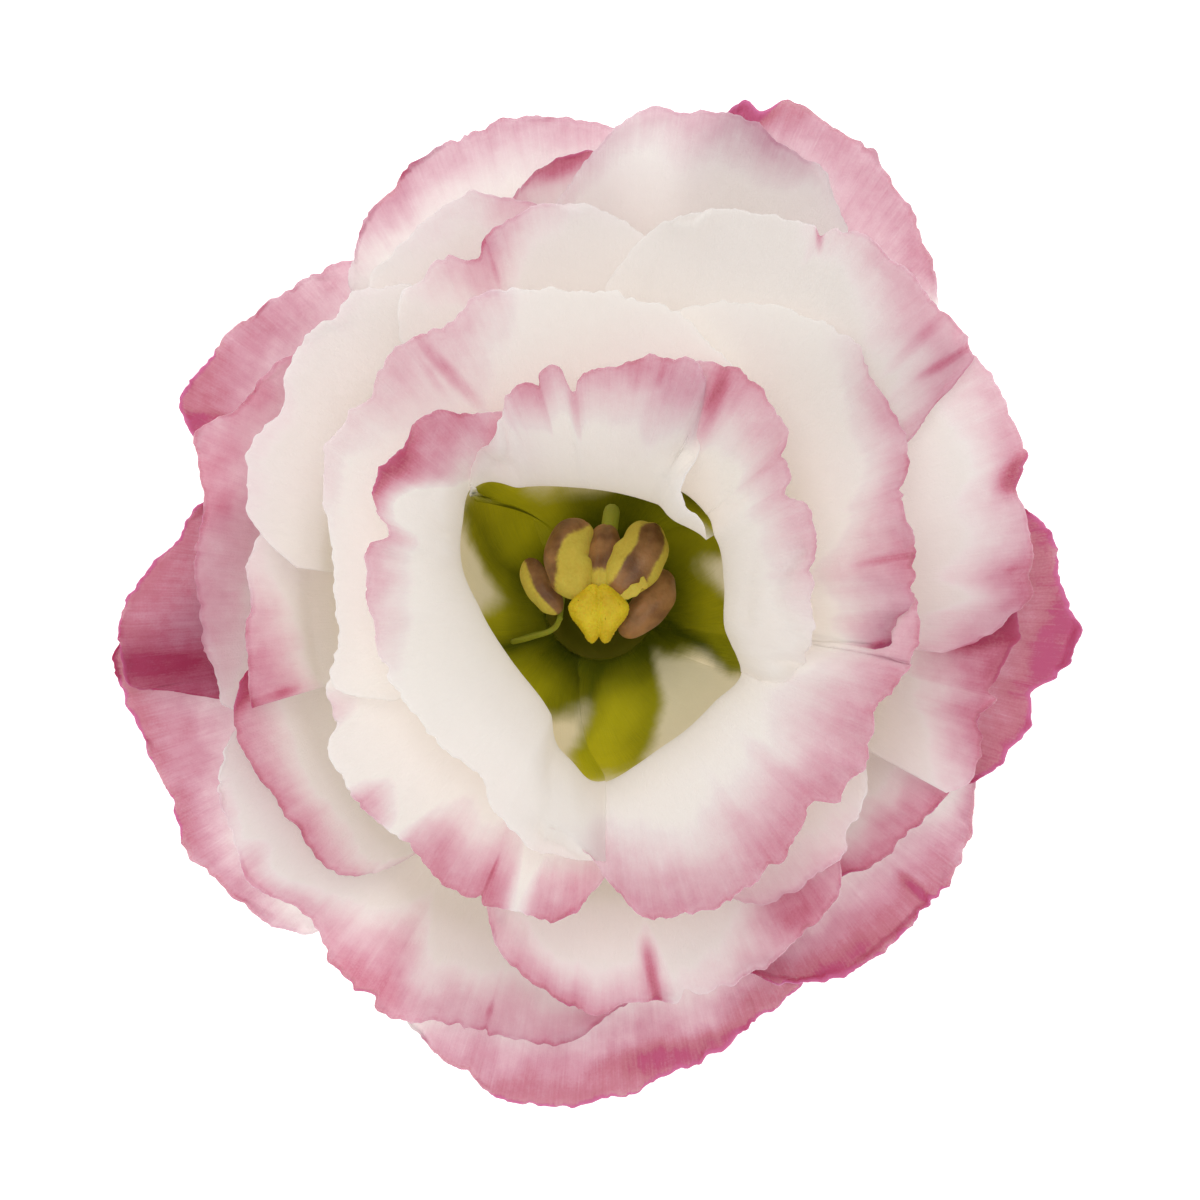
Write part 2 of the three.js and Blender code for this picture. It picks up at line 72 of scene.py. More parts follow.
class Socket:
    """A shader socket that sums and products can be written with."""

    def __init__(self, tree, out):
        self.tree = tree
        self.out = out

    def node(self, kind, sockets, output=0, **settings):
        """Adds a node: its settings first, then the values or links of its sockets."""
        made = self.tree.nodes.new(kind)
        stops = settings.pop("stops", None)
        for name, value in settings.items():
            setattr(made, name, value)
        if stops:
            ramp = made.color_ramp.elements
            while len(ramp) < len(stops):
                ramp.new(1)
            for element, (place, colour) in zip(ramp, stops):
                element.position = place
                element.color = colour
        plug(made.inputs, sockets)
        return Socket(self.tree, made.outputs[output])

    def maths(self, operation, a, b, clamp=False):
        return self.node("ShaderNodeMath", {0: a, 1: b}, operation=operation, use_clamp=clamp)

    def __add__(self, other):
        return self.maths("ADD", self, other)

    def __radd__(self, other):
        return self.maths("ADD", other, self)

    def __sub__(self, other):
        return self.maths("SUBTRACT", self, other)

    def __rsub__(self, other):
        return self.maths("SUBTRACT", other, self)

    def __mul__(self, other):
        return self.maths("MULTIPLY", self, other)

    def __rmul__(self, other):
        return self.maths("MULTIPLY", other, self)

    def clamped(self):
        """The value, kept between 0 and 1."""
        return self.maths("ADD", self, 0.0, clamp=True)

    def step(self, low, high):
        """0 below low, 1 above high, smooth between."""
        return self.node("ShaderNodeMapRange", {0: self, 1: low, 2: high},
                         interpolation_type="SMOOTHSTEP")

    def colour(self, first, second):
        """The first colour where this is 0, the second where it is 1."""
        return self.node("ShaderNodeMix", {0: self, 6: first, 7: second}, output=2,
                         data_type="RGBA")

    def noise(self, scale, detail=2.0, stretch=(1, 1, 1)):
        """Soft random values from 0 to 1, at the places that this socket gives."""
        placed = self.node("ShaderNodeMapping", {"Vector": self, "Scale": stretch})
        return self.node("ShaderNodeTexNoise", {"Vector": placed, "Scale": scale, "Detail": detail})

    def mark(self, name):
        """The numbers of one name that the points of a piece carry."""
        return self.node("ShaderNodeAttribute", {}, output=2, attribute_name=name)

    def bump(self, strength, distance):
        """The surface raised by this pattern, the distance in metres."""
        return self.node("ShaderNodeBump",
                         {"Height": self, "Strength": strength, "Distance": distance})


def paint(code):
    """A linear colour from a web colour code."""
    values = [int(code[k:k + 2], 16) / 255 for k in (1, 3, 5)]
    linear = [v / 12.92 if v <= 0.04045 else ((v + 0.055) / 1.055) ** 2.4 for v in values]
    return *linear, 1.0


def new_material(name):
    """An empty material: its shader's inputs, and its object coordinates to build from."""
    material = bpy.data.materials.new(name)
    material.use_nodes = True
    tree = material.node_tree
    places = Socket(tree, tree.nodes.new("ShaderNodeTexCoord").outputs["Object"])
    return material, tree.nodes["Principled BSDF"].inputs, places


def through(points, x):
    """Smooth values through (x, value) points, flat outside them."""
    xs, ys = np.array(points, float).T
    before = np.maximum(np.arange(len(xs)) - 1, 0)
    after = np.minimum(np.arange(len(xs)) + 1, len(xs) - 1)
    slopes = (ys[after] - ys[before]) / (xs[after] - xs[before])
    x = np.clip(x, xs[0], xs[-1])
    i = np.clip(np.searchsorted(xs, x, side="right") - 1, 0, len(xs) - 2)
    width = xs[i + 1] - xs[i]
    t = (x - xs[i]) / width
    return (ys[i] * (1 + 2 * t) * (1 - t) ** 2 + slopes[i] * width * t * (1 - t) ** 2
            + ys[i + 1] * (3 - 2 * t) * t ** 2 - slopes[i + 1] * width * t ** 2 * (1 - t))


def smooth(x, low, high):
    """0 below low, 1 above high, smooth between."""
    t = np.clip((x - low) / (high - low), 0, 1)
    return t * t * (3 - 2 * t)


def mix(a, b, share):
    """From a where the share is 0 to b where it is 1."""
    return a + (b - a) * share


def choose(*pieces):
    """Selects these pieces and nothing else. The first one becomes active."""
    bpy.ops.object.select_all(action="DESELECT")
    for piece in pieces:
        piece.select_set(True)
    bpy.context.view_layer.objects.active = pieces[0]


def points_of(piece):
    """The points of a piece, in metres, one row each."""
    flat = np.empty(len(piece.data.vertices) * 3)
    piece.data.vertices.foreach_get("co", flat)
    return flat.reshape(-1, 3)


def place(piece, points, scale=MM):
    """Moves every point of a piece to its place, in millimetres, or in metres if the scale is 1."""
    piece.data.vertices.foreach_set("co", (np.asarray(points) * scale).ravel())
    piece.data.update()


def grid(name, columns, rows):
    """A flat grid, and where each of its points stands across it and up it, from 0 to 1."""
    bpy.ops.object.select_all(action="DESELECT")
    bpy.ops.mesh.primitive_grid_add(x_subdivisions=columns, y_subdivisions=rows, size=1)
    piece = bpy.context.object
    piece.name = name
    across, up, _ = points_of(piece).T + 0.5
    return piece, across, up


def apply_all(piece):
    """Applies every modifier of a piece and smooths its shading."""
    choose(piece)
    for modifier in list(piece.modifiers):
        bpy.ops.object.modifier_apply(modifier=modifier.name)
    bpy.ops.object.shade_smooth()


def join(pieces, name):
    """Makes one piece of several."""
    choose(*pieces)
    bpy.ops.object.join()
    pieces[0].name = name
    return pieces[0]


def turned(name, outline, sides, ripple, ribs=5):
    """A body drawn up ring by ring from a circle, through (radius, height) points, and ribbed."""
    bpy.ops.object.select_all(action="DESELECT")
    radius, height = outline[0]
    bpy.ops.mesh.primitive_circle_add(vertices=sides, radius=radius * MM, fill_type="TRIFAN",
                                      location=(0, 0, 0))
    piece = bpy.context.object
    piece.name = name
    bpy.ops.object.mode_set(mode="EDIT")
    bpy.ops.mesh.select_all(action="SELECT")
    bpy.ops.transform.translate(value=(0, 0, height * MM))
    bpy.ops.mesh.flip_normals()
    bpy.ops.mesh.region_to_loop()
    for (radius, height), (next_radius, next_height) in zip(outline, outline[1:]):
        bpy.ops.mesh.extrude_edges_move(
            TRANSFORM_OT_translate={"value": (0, 0, (next_height - height) * MM)})
        bpy.ops.transform.resize(value=(next_radius / radius, next_radius / radius, 1),
                                 center_override=(0, 0, 0))
    bpy.ops.mesh.edge_face_add()
    bpy.ops.mesh.select_all(action="SELECT")
    bpy.ops.mesh.normals_make_consistent(inside=False)
    bpy.ops.object.mode_set(mode="OBJECT")
    points = points_of(piece)
    points[:, :2] *= 1 + ripple * np.cos(ribs * np.arctan2(points[:, 1], points[:, 0]))[:, None]
    place(piece, points, scale=1)
    return piece


sepals = []
receptacle = turned("receptacle", STEM_AND_RECEPTACLE, STEM_SIDES, STEM_RIPPLE)
for number, azimuth in enumerate(SEPAL_AZIMUTHS):
    sepal, across, up = grid("sepal", *SEPAL_CELLS)
    across = (across * 2 - 1) * through(SEPAL_HALF, up)
    keel = SEPAL_KEEL * np.sqrt(across ** 2 + 0.02)
    wave = SEPAL_WAVE * np.sin(9 * up + number) * across
    turn = np.radians(azimuth + SEPAL_BEND * np.sin(2.2 * up + 1.7 * number) * up)
    radius = through(SEPAL_RADIUS, up)
    height = through(SEPAL_HEIGHT, up) + keel + wave
    place(sepal, np.c_[radius * np.cos(turn) - across * np.sin(turn),
                       radius * np.sin(turn) + across * np.cos(turn), height])
    thickness = sepal.modifiers.new("thickness", "SOLIDIFY")
    thickness.thickness = SEPAL_THICKNESS * MM
    thickness.offset = 0
    apply_all(sepal)
    # the flower rests on the lowest point of each sepal
    points = points_of(sepal)
    points[:, 2] -= points[:, 2].min()
    place(sepal, points, scale=1)
    sepals.append(sepal)
calyx = join([receptacle] + sepals, "calyx_body")
apply_all(calyx)

calyx_green, shader, places = new_material("calyx_green")
mottle = places.noise(260, 3)
ribs = places.noise(900, 2, (1, 1, 0.12))
outside = (mottle * 0.7 + ribs * 0.5 - 0.25).clamped().colour(paint("#66771f"), paint("#9aa846"))
level = places.node("ShaderNodeSeparateXYZ", {0: places}, output=2)
plug(shader, {"Base Color": level.step(*THROAT_FLOOR).colour(outside, paint("#6c6a00")),
              "Roughness": 0.5 + 0.2 * mottle,
              "Specular IOR Level": 0.2,
              "Subsurface Weight": 0.15,
              "Subsurface Scale": 0.001,
              "Normal": (ribs + mottle * 0.6).bump(0.5, 0.0002)})
calyx.data.materials.append(calyx_green)
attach(calyx, "root")
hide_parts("calyx")

# ---- Outermost petals -------------------------------------------------------------------------
# Nine broad petals lie outermost, thin soft sheets that grow from the receptacle on long narrow
# claws. They are ivory, green at the claw, and took the most light: their edges are deep rose.
PETAL_THICKNESS = 0.26
COLUMN_WIDTH = 0.23
ROWS = 76
LAYERS = 11
LAYERS_PER_RING = 3
# The side view of the innermost and the outermost petal, at each station up the petal: radius and
# height. The last column tells how far a station follows the outline of the throat.
STATIONS = [
    (0.0, 4.0, 7.0, 7.4, 4.2, 0.0),
    (0.15, 6.6, 11.6, 14.2, 6.8, 0.0),
    (0.32, 10.4, 18.8, 22.4, 10.8, 0.2),
    (0.5, 11.6, 27.0, 28.0, 14.6, 0.6),
    (0.66, 10.2, 34.6, 31.4, 17.4, 1.0),
    (0.78, 12.9, 39.2, 34.6, 19.2, 0.7),
    (0.9, 18.2, 40.8, 37.8, 20.4, 0.0),
    (1.0, 23.0, 40.2, 40.4, 20.8, 0.0),
    (1.12, 28.6, 38.0, 43.6, 20.4, 0.0),
]
# The throat's outline: azimuth in degrees, radius of the lip.
THROAT = [
    (-60, 11.4), (-40, 11.2), (-26, 11.6), (-10, 9.6), (10, 9.5), (30, 9.9), (55, 8.9), (80, 8.6),
    (104, 9.2), (124, 10.8), (137, 12.6), (150, 11.9), (163, 10.9), (182, 9.0), (210, 7.9),
    (238, 8.4), (258, 10.7), (268, 12.4), (284, 11.7), (300, 11.4),
]
THROAT_MEAN = 10.2


def once_round(azimuth, table):
    """The azimuth, counted on from the first row of a table that goes once round."""
    return table[0][0] + np.mod(azimuth - table[0][0], 360)


def meridian(station, layer, azimuth):
    """Radius and height of a petal of one layer. The layers nest without meeting."""
    at, *columns = zip(*STATIONS)
    inner_r, inner_z, outer_r, outer_z, lip = (
        through(list(zip(at, column)), station) for column in columns)
    depth = layer / LAYERS
    throat = through(THROAT, once_round(azimuth, THROAT)) - THROAT_MEAN
    radius = mix(inner_r, outer_r, depth) + lip * (1 - depth) * throat
    return radius, mix(inner_z, outer_z, depth)


SWELL_HEIGHT = 1.1
SWELL_RADII = (13, 32)


def swell(azimuth, radius):
    """Long waves that all petals share, and that grow between two radii."""
    turn = np.radians(azimuth)
    wave = 0.6 * np.sin(7 * turn + 0.6) + 0.4 * np.sin(11 * turn + 0.15 * radius)
    return SWELL_HEIGHT * smooth(radius, *SWELL_RADII) * wave


def wander(chance, run, length):
    """Values between -1 and 1 that change unevenly, each over about one length."""
    count = int(run.max() / length * 1.3) + 8
    knots = np.cumsum(chance.uniform(0.5, 1.5, count)) * length - 3 * length
    return through(np.c_[knots, chance.uniform(-1, 1, count)], run)


def unit(ways):
    """Directions, each made 1 long."""
    return ways / np.linalg.norm(ways, axis=-1)[..., None]


def neighbours(field):
    """Each cell of a grid and the four round it, as five grids."""
    padded = np.pad(field, 1, mode="edge")
    return [padded[1:-1, 1:-1], padded[:-2, 1:-1], padded[2:, 1:-1],
            padded[1:-1, :-2], padded[1:-1, 2:]]


def soften(field, rounds):
    """Evens out a grid."""
    for _ in range(rounds):
        field = sum(neighbours(field)) / 5
    return field


def spread_low(field, reach):
    """Lets low values of a grid spread over `reach` cells, then softens the grid."""
    for _ in range(reach):
        field = np.minimum.reduce(neighbours(field))
    return soften(field, reach + 2)


def tree_of(meshes):
    """A search tree of (corners, faces) meshes."""
    corners = []
    faces = []
    for some_corners, some_faces in meshes:
        start = len(corners)
        corners.extend(some_corners)
        faces.extend([tuple(start + k for k in face) for face in some_faces])
    return BVHTree.FromPolygons(corners, faces)


unbuilt = {}
for name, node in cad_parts.items():
    unbuilt[name] = ([vertex.co.copy() for vertex in node.data.vertices],
                     [tuple(face.vertices) for face in node.data.polygons])
built = {}
# A point may use up a share of its way to a CAD node that isn't built yet, or to a petal that is,
# less the skin that stays free there, but never more or less than these. A petal that lies on
# another one stops this short of it.
CAD_SHARE = 0.42
CAD_SKIN = 0.15
BUILT_SHARE = 0.8
BUILT_SKIN = 0.3
ROOM_MOST = 2.6
ROOM_LEAST = 0.03
CONTACT = 0.2


def room(points, normals):
    """How far each point may move along its normal and against it, and where it would touch."""
    free = np.full((3, len(points)), ROOM_MOST)
    free[2] = np.nan
    for meshes, share, skin in ((unbuilt, CAD_SHARE, CAD_SKIN), (built, BUILT_SHARE, BUILT_SKIN)):
        if not meshes:
            continue
        tree = tree_of(meshes.values())
        for k, (point, normal) in enumerate(zip(points * MM, normals)):
            start = Vector(point)
            way = Vector(normal)
            for side, sign in enumerate((1, -1)):
                hit = tree.ray_cast(start, way * sign, ROOM_MOST / share * MM)
                if hit[3] is not None:
                    free[side, k] = min(free[side, k], share * max(hit[3] / MM - skin, ROOM_LEAST))
                    if side and meshes is built:
                        free[2, k] = max(hit[3] / MM - CONTACT, 0.0)
    free[2] = np.where(np.isnan(free[2]), free[1], free[2])
    return free


# The stations between which a petal goes over from its lower layers to its outer ones.
OUTER_PART = (0.74, 1.0)


def layers_of(layer):
    """How a petal's layer changes with azimuth and station."""
    low, high = layer if isinstance(layer, tuple) else (layer, layer)
    low, high = ([(0, row), (1, row)] if np.isscalar(row) else row for row in (low, high))

    def layer_at(azimuth, station):
        return mix(through(low, azimuth), through(high, azimuth), smooth(station, *OUTER_PART))

    return layer_at


# The ends of a rim stay plain. Between them it has nibbles: their length and depth.
PLAIN_END = 4
NIBBLES = ((4, 0.15), (1.7, 0.15), (0.8, 0.14), (0.42, 0.1))
# The rims are drawn as seen from above, in a plane at one height. A rim that stands lower looks
# smaller from there, so it is drawn out by as much: rim heights from the innermost layer out.
EYE_HEIGHT = 900
DRAWN_HEIGHT = 30
RIM_HEIGHTS = (40.6, 20.6)


def rim_line(rim, layer_at, ruffle, chance):
    """A petal's rim, column by column: the run from its first end, azimuth and radius, and how much
    it is waved, from 0 at its two ends to 1 between them."""
    azimuths, radii = np.array(rim, float).T
    steps = np.hypot(np.radians(np.diff(azimuths)) * radii[1:], np.diff(radii))
    run_at = np.concatenate([[0], np.cumsum(steps)])
    length = run_at[-1]
    run = np.linspace(0, 1, int(length / COLUMN_WIDTH) + 1) * length
    azimuth = through(np.c_[run_at, azimuths], run)
    waved = smooth(run, 0, PLAIN_END) * smooth(length - run, 0, PLAIN_END)
    nibble = sum(depth * wander(chance, run, wave) for wave, depth in NIBBLES)
    radius = through(np.c_[run_at, radii], run) + waved * nibble * (0.4 + 0.6 * ruffle)
    stands = mix(*RIM_HEIGHTS, layer_at(azimuth, 1.0) / LAYERS)
    radius = radius * (EYE_HEIGHT - stands) / (EYE_HEIGHT - DRAWN_HEIGHT)
    return run, azimuth, radius, waved


# For each ring of petals: the width of a claw, and the stations between which it widens. Between
# the next two stations the petals of a ring part into their layers.
CLAW_WIDTHS = (5.0, 2.4, 2.3, 2.1)
CLAW_WIDENS = ((0.08, 0.44), (0.18, 0.46), (0.18, 0.46), (0.18, 0.46))
LAYERS_PART = (0.02, 0.21)
# The highest and the lowest station for a rim, tried in these steps.
RIM_STATIONS = (1.12, 0.4)
RIM_STEP = 0.002
# The rows of a sheet stand closer towards its rim.
ROW_POWER = 1.3


def plain_sheet(azimuth, radius, layer_at, claw, claw_width, ring):
    """A petal without its ruffles: station, azimuth, radius and place of each point."""
    # the highest station at which each column is within its rim's radius
    ladder = np.arange(*RIM_STATIONS, -RIM_STEP)[:, None]
    reached = meridian(ladder, layer_at(azimuth, ladder), azimuth)[0] <= radius
    end = np.where(reached.any(axis=0), ladder[reached.argmax(axis=0), 0], RIM_STATIONS[1])
    up = 1 - (1 - np.linspace(0, 1, ROWS + 1)) ** ROW_POWER
    station = end[:, None] * up[None, :]
    foot_layer = LAYERS_PER_RING * ring + 1
    claw_turn = np.degrees((claw_width or CLAW_WIDTHS[ring]) / meridian(0.0, foot_layer, claw)[0])
    foot = claw + (np.linspace(0, 1, len(azimuth))[:, None] - 0.5) * claw_turn
    here = mix(foot, azimuth[:, None], smooth(station, *CLAW_WIDENS[ring]))
    layer = mix(foot_layer, layer_at(here, station), smooth(station, *LAYERS_PART))
    out, height = meridian(station, layer, here)
    turn = np.radians(here)
    sheet = np.stack([out * np.cos(turn), out * np.sin(turn), height + swell(here, out)], axis=-1)
    return station, here, out, sheet


# The length and height of the ruffles, which reach in from the rim by a share of their length, and
# how far they drift aside on the way in. A lift raises the rim alone.
RUFFLES = ((8.0, 0.8), (4.2, 0.6), (2.1, 0.3))
RUFFLE_REACH = 0.8
DRIFT = 2.5
DRIFT_LENGTH = 12
LIFT_REACH = 3.2


def folds(run, azimuth, inward, waved, ruffle, lift, pleats, chance):
    """How far each point stands off the plain sheet, and the dye that gathers in the creases."""
    rise = np.zeros_like(inward)
    drift = DRIFT * wander(chance, run, DRIFT_LENGTH)[:, None] * smooth(inward, 0, DRIFT_LENGTH)
    for wave, size in RUFFLES:
        fade = np.exp(-(inward / (RUFFLE_REACH * wave)) ** 2)
        rise += ruffle * size * wander(chance, run[:, None] + drift, wave) * fade
    rise *= waved[:, None]
    rise += lift * np.exp(-(inward / LIFT_REACH) ** 1.5) * waved[:, None]
    crease = np.zeros_like(inward)
    for pleat_azimuth, width, deep, reach, dye in pleats:
        aside = (run[:, None] - np.interp(pleat_azimuth, azimuth, run) + 0.4 * drift) / width
        fade = 1 - smooth(inward, 0.35 * reach, reach)
        rise += deep * np.exp(-aside ** 2) * fade
        crease = np.maximum(crease, dye * np.exp(-(aside * 1.1) ** 2) * fade)
    return rise, crease


# The dye's width along the rim is uneven by a share, over a length, and its strength fades out
# between these shares of the width. Stains lie above this station only.
DYE_UNEVEN = 0.13
DYE_LENGTH = 2.6
DYE_FADES = (-0.25, 1.85)
STAINS_FROM = 0.6


def dye_of(run, azimuth, inward, station, sheet, blush, crease, stains, chance):
    """The pink of each point, from 0 to 1: along the rim, in the creases and in single patches."""
    strength = through([(a, s) for a, w, s in blush], azimuth)[:, None]
    width = through([(a, w) for a, w, s in blush], azimuth)[:, None]
    width = width * (1 + DYE_UNEVEN * wander(chance, run, DYE_LENGTH))[:, None]
    dyed = strength * (1 - smooth(inward, *(share * width for share in DYE_FADES)))
    dyed = np.maximum(dyed, crease)
    for x, y, long, broad, way, depth in stains:
        from_x = sheet[..., 0] - x
        from_y = sheet[..., 1] - y
        way = np.radians(way)
        along = (from_x * np.cos(way) + from_y * np.sin(way)) / long
        over = (from_y * np.cos(way) - from_x * np.sin(way)) / broad
        dyed = dyed + depth * np.exp(-(along ** 2 + over ** 2) ** 1.5) * (station > STAINS_FROM)
    return np.clip(dyed, 0, 1)


# How far out the green of the claws reaches inside the throat: azimuth, radius. Where it stops
# short, the white of the petal shows as a soft cream patch. Both tables turn with the claws' twist.
GREEN_REACH = [
    (-64, 13), (-60, 13), (-54, 6.6), (-50, 5.6), (-46, 5.3), (-42, 6.0), (-37, 7.3), (-28, 7.8),
    (-21, 8.3), (-15, 13), (2, 13), (8, 9.2), (14, 8.6), (22, 8.0), (28, 8.0), (32, 13), (76, 13),
    (82, 9.0), (96, 8.5), (104, 9.1), (118, 9.6), (126, 9.9), (136, 11), (140, 13), (163, 13),
    (167, 8.4), (171, 7.4), (177, 7.7), (184, 8.5), (191, 9.6), (197, 13), (239, 13), (245, 9.2),
    (257, 7.9), (266, 6.9), (272, 13), (296, 13),
]
# Painted light and shade of the green walls round the throat: painted shade in their folds (0),
# painted light between them (1).
GREEN_PAINTED_LIGHT = [
    (-64, 0.6), (-50, 0.4), (-36, 0.45), (-28, 0.3), (-22, 0.0), (-15, 0.5), (0, 0.6), (12, 0.5),
    (20, 0.45), (40, 0.6), (60, 0.4), (76, 0.2), (92, 0.25), (104, 0.4), (116, 0.75), (136, 0.9),
    (148, 0.75), (157, 0.3), (168, 0.5), (184, 0.8), (195, 0.6), (203, 0.0), (209, 0.5),
    (220, 0.8), (234, 0.85), (246, 0.5), (262, 0.1), (268, 0.7), (276, 1.0), (286, 0.9), (296, 0.6),
]
THROAT_TWIST = 3.0
# A patch's edge is averaged over these turns, in degrees, and then softened.
PATCH_TURNS = (-6, -4, -2, 0, 2, 4, 6)
PATCH_MOST = 2
PATCH_SOFTENINGS = 8


def green_of(station, here, out, ring):
    """The green of the foot, the painted light and shade of its folds, darker deep in the throat,
    and the cream that the white turns to above it. Only the petals of the innermost ring show
    theirs, so only they have painted folds and patches."""
    if ring:
        green = (0.3 - station) * 20
        painted_light = np.full_like(station, 0.5)
        cream = 1 - smooth(station, 0.3, 0.45)
    else:
        bearing = once_round(here + THROAT_TWIST * (out - 8) + 1.5 * np.sin(1.3 * out), GREEN_REACH)
        reach = [np.interp(bearing + turn, *zip(*GREEN_REACH)) - out for turn in PATCH_TURNS]
        green = np.minimum(np.clip(reach, -PATCH_MOST, PATCH_MOST).mean(axis=0),
                           (0.6 - station) * 30)
        # painted shade in the folds and deep in the throat, painted light on the walls between them
        painted_light = np.interp(bearing, *zip(*GREEN_PAINTED_LIGHT)) * smooth(out, 3.5, 8.5)
        cream = 1 - smooth(station, 0.42, 0.6)
    return soften(np.clip(green, -PATCH_MOST, PATCH_MOST), PATCH_SOFTENINGS), painted_light, cream


def mark(piece, **fields):
    """Gives each point of a piece the numbers that its material reads."""
    for name, value in fields.items():
        numbers = np.full(len(piece.data.vertices), value, np.float32)
        piece.data.attributes.new(name, "FLOAT", "POINT").data.foreach_set("value", numbers)


# The room is smoothed over this many cells, and the contact over fewer.
ROOM_CELLS = 3
CONTACT_CELLS = 1
# The share of its thickness that a petal keeps at its rim, and where it lies on another one, and
# how far in from the rim, in the open and on another one, and from a held end it grows full.
RIM_THICKNESS = 0.6
HELD_THICKNESS = 0.06
FULL_FROM_RIM = (0.6, 2.0)
FULL_FROM_END = 3
THICKNESS_STEPS = 24


def petal(node, layer, claw, rim, blush, faces, seed, claw_width=None, ruffle=1.0, lift=0.0,
          pleats=(), hug=(0, 0), loose=0, stains=()):
    """Builds one petal.

    layer is one number, or (azimuth, layer) points along the petal, or two such lists, one for its
    lower and one for its outer part; claw is its foot's azimuth; rim holds (azimuth, radius) points
    from end to end; blush holds (azimuth, width, strength) of the dye along the rim; faces are its
    inner and outer material; pleats hold (azimuth, width, height, reach, dye) of single folds; hug
    is how many millimetres of its first and last end lie close on the petal below, but for the
    first `loose` millimetres; stains hold (x, y, length, breadth, turn, dye) of single soft
    patches, darker or, below zero, bleached.
    """
    chance = np.random.default_rng(seed)
    layer_at = layers_of(layer)
    run, azimuth, radius, waved = rim_line(rim, layer_at, ruffle, chance)
    ring = int(max(0, layer_at(rim[len(rim) // 2][0], 1.0) // LAYERS_PER_RING))
    station, here, out, sheet = plain_sheet(azimuth, radius, layer_at, claw, claw_width, ring)

    # how far a point is from the rim, along its column
    steps = np.linalg.norm(np.diff(sheet, axis=1), axis=-1)
    inward = np.zeros(station.shape)
    inward[:, :-1] = np.cumsum(steps[:, ::-1], axis=1)[:, ::-1]
    ways_across, ways_up = np.gradient(sheet, axis=(0, 1))
    normals = unit(np.cross(ways_up, ways_across))

    # ruffles and folds go as far as there is room, and the ends that hug lie on the petal below
    rise, crease = folds(run, azimuth, inward, waved, ruffle, lift, pleats, chance)
    free = room(sheet.reshape(-1, 3), normals.reshape(-1, 3)).reshape(3, *inward.shape)
    above = spread_low(free[0], ROOM_CELLS)
    below = spread_low(free[1], ROOM_CELLS)
    contact = spread_low(free[2], CONTACT_CELLS)
    rise = np.where(rise > 0, above * np.tanh(rise / above), -below * np.tanh(-rise / below))
    ends = [(far, reach) for far, reach in zip((run, run[-1] - run), hug) if reach]
    held = np.zeros_like(run)
    for far, reach in ends:
        held = np.maximum(held, 1 - smooth(far, 0.55 * reach, reach))
    if loose:
        held *= smooth(run, 0.7 * loose, 1.3 * loose)
    held = held[:, None] * (smooth(out, 10.5, 12.5) if loose else smooth(station, 0.12, 0.3))
    sheet = sheet + normals * mix(rise, -contact, held)[..., None]
    thin = mix(mix(RIM_THICKNESS, HELD_THICKNESS, held), 1.0,
               smooth(inward / mix(*FULL_FROM_RIM, held), 0, 1))
    for far, _ in ends:
        thin = np.minimum(thin, mix(HELD_THICKNESS, 1.0, smooth(far, 0, FULL_FROM_END))[:, None])

    columns = len(run) - 1
    piece, across, up = grid(node + "_sheet", columns, ROWS)
    i = np.rint(across * columns).astype(int)
    j = np.rint(up * ROWS).astype(int)
    place(piece, sheet[i, j])
    dyed = dye_of(run, azimuth, inward, station, sheet, blush, crease, stains, chance)
    green, painted_light, cream = green_of(station, here, out, ring)
    mark(piece, dye=dyed[i, j], edge=inward[i, j], green=green[i, j], cream=cream[i, j],
         painted_light=painted_light[i, j])
    corners = np.empty(len(piece.data.loops), int)
    piece.data.loops.foreach_get("vertex_index", corners)
    laid = np.stack([run[i][corners], inward[i, j][corners]], axis=-1) / 100
    piece.data.uv_layers[0].data.foreach_set("uv", laid.astype(np.float32).ravel())

    # the petals that follow keep clear of this one, and no longer of its CAD node
    coarse = sheet[::2, ::2] * MM
    wide, tall = coarse.shape[:2]
    built[node] = ([Vector(point) for point in coarse.reshape(-1, 3)],
                   [(a * tall + b, (a + 1) * tall + b, (a + 1) * tall + b + 1, a * tall + b + 1)
                    for a in range(wide - 1) for b in range(tall - 1)])
    del unbuilt[node]

    for face in faces:
        piece.data.materials.append(face)
    share = piece.vertex_groups.new(name="share")
    steps = np.rint(thin[i, j] * THICKNESS_STEPS).astype(int)
    for step in np.unique(steps):
        share.add(np.flatnonzero(steps == step).tolist(), step / THICKNESS_STEPS, "REPLACE")
    thickness = piece.modifiers.new("thickness", "SOLIDIFY")
    thickness.thickness = PETAL_THICKNESS * MM
    thickness.offset = 0
    thickness.material_offset = 1
    thickness.vertex_group = "share"
    apply_all(piece)
    piece.vertex_groups.clear()
    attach(piece, "root")
    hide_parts(node)


# A painted glow: how much of its own colour a petal gives off as light, standing in for the
# daylight that shines through it and lifting its shade. The cream and the painted-light folds of
# the green glow more.
GLOW = 0.34
CREAM_GLOW = 0.3
GREEN_GLOW = 0.3
PAINTED_GLOW_STRENGTH = 0.45


